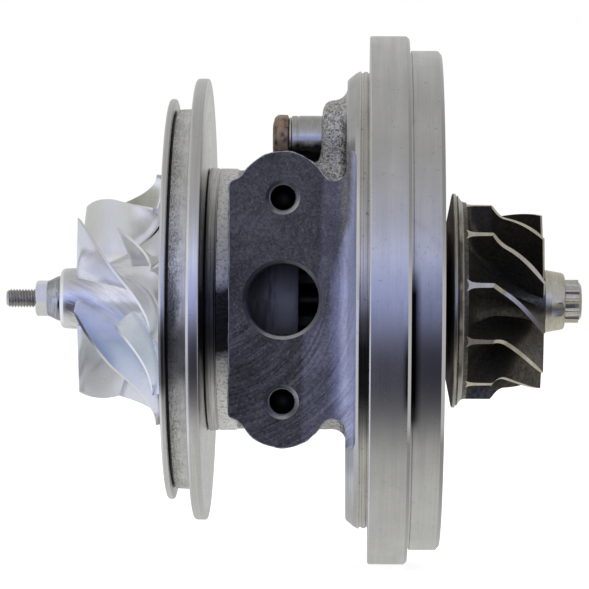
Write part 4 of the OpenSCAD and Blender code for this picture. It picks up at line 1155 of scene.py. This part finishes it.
def build_world():
    """soft studio surround: a bright overhead, a cool front, a dim strip low in front, a pale table below"""
    w = bpy.data.worlds.new("studio")
    scene.world = w
    w.use_nodes = True
    t = w.node_tree
    t.nodes.clear()
    N = t.nodes.new
    out, bg, cam = N("ShaderNodeOutputWorld"), N("ShaderNodeBackground"), N("ShaderNodeBackground")
    mixs, lp = N("ShaderNodeMixShader"), N("ShaderNodeLightPath")
    tc, sep = N("ShaderNodeTexCoord"), N("ShaderNodeSeparateXYZ")
    t.links.new(tc.outputs["Generated"], sep.inputs[0])

    def m(op, a, b=None):
        n = N("ShaderNodeMath")
        n.operation = op
        for i, x in enumerate((a, b)):
            if x is None:
                continue
            if isinstance(x, (int, float)):
                n.inputs[i].default_value = x
            else:
                t.links.new(x, n.inputs[i])
        return n.outputs[0]

    # elevation around the shaft axis: 0 behind-below .. 0.5 toward the camera .. 1 behind-above
    el = m("ARCTAN2", sep.outputs["Z"], m("MULTIPLY", sep.outputs["Y"], -1.0))
    fac = m("ADD", m("DIVIDE", el, 2 * math.pi), 0.5)
    ramp = N("ShaderNodeValToRGB")
    stops = [(-180, (0.6, 0.6, 0.59)), (-120, (0.66, 0.66, 0.64)), (-80, (0.6, 0.6, 0.58)), (-62, (0.4, 0.4, 0.4)), (-50, (0.15, 0.15, 0.17)), (-38, (0.055, 0.055, 0.075)), (-22, (0.06, 0.06, 0.085)),
             (-13, (0.2, 0.21, 0.33)), (-3, (0.38, 0.43, 0.74)), (9, (0.48, 0.54, 0.88)), (18, (0.66, 0.71, 1.0)), (32, (0.55, 0.57, 0.7)), (50, (0.5, 0.5, 0.53)), (75, (0.48, 0.48, 0.47)), (110, (0.5, 0.5, 0.49)), (150, (0.62, 0.62, 0.61)), (180, (0.66, 0.66, 0.65))]
    e = ramp.color_ramp.elements
    while len(e) < len(stops):
        e.new(0.5)
    for el_, (deg, c) in zip(e, stops):
        el_.position = deg / 360 + 0.5
        el_.color = (*c, 1)
    t.links.new(fac, ramp.inputs["Fac"])
    # the end toward the compressor is cool and pale, higher up neutral; the turbine end is dimmer
    def ramp_of(fac, stops):
        n = N("ShaderNodeValToRGB")
        el = n.color_ramp.elements
        while len(el) < len(stops):
            el.new(0.5)
        for x, (p, c) in zip(el, stops):
            x.position = p
            x.color = (*c, 1)
        t.links.new(fac, n.inputs["Fac"])
        return n.outputs["Color"]

    left = ramp_of(m("ADD", m("MULTIPLY", sep.outputs["Z"], 0.5), 0.5), [(0.2, (0.84, 0.85, 0.9)), (0.42, (0.84, 0.87, 1.06)), (0.55, (0.76, 0.77, 0.86)), (0.68, (0.66, 0.66, 0.65)), (0.85, (0.64, 0.64, 0.63))])
    side = N("ShaderNodeMix")
    side.data_type = "RGBA"
    t.links.new(m("GREATER_THAN", sep.outputs["X"], 0.0), side.inputs["Factor"])
    t.links.new(left, side.inputs["A"])
    side.inputs["B"].default_value = (0.42, 0.41, 0.4, 1)
    mx = N("ShaderNodeMix")
    mx.data_type = "RGBA"
    ab = m("MAXIMUM", m("MULTIPLY", sep.outputs["X"], -1.35), sep.outputs["X"])
    sm = N("ShaderNodeMapRange")
    sm.interpolation_type = "SMOOTHSTEP"
    sm.inputs["From Min"].default_value = 0.45
    sm.inputs["From Max"].default_value = 0.85
    t.links.new(ab, sm.inputs["Value"])
    t.links.new(sm.outputs["Result"], mx.inputs["Factor"])
    t.links.new(ramp.outputs["Color"], mx.inputs["A"])
    t.links.new(side.outputs["Result"], mx.inputs["B"])
    t.links.new(mx.outputs["Result"], bg.inputs["Color"])
    bg.inputs["Strength"].default_value = 1.0
    cam.inputs["Color"].default_value = (1, 1, 1, 1)
    cam.inputs["Strength"].default_value = 1.0
    t.links.new(lp.outputs["Is Camera Ray"], mixs.inputs["Fac"])
    t.links.new(bg.outputs[0], mixs.inputs[1])
    t.links.new(cam.outputs[0], mixs.inputs[2])
    t.links.new(mixs.outputs[0], out.inputs["Surface"])


build_world()


def area(name, loc, target, size, power, color=(1, 1, 1)):
    d = bpy.data.lights.new(name, "AREA")
    d.shape = "RECTANGLE"
    d.size, d.size_y = size
    d.energy = power
    d.color = color
    ob = bpy.data.objects.new(name, d)
    scene.collection.objects.link(ob)
    ob.location = loc
    ob.rotation_euler = (Vector(target) - Vector(loc)).to_track_quat("-Z", "Y").to_euler()


area("key_left", (-0.9, -0.45, 0.5), (-0.05, 0, 0), (0.6, 0.6), 0.2, (1.0, 1.0, 1.0))
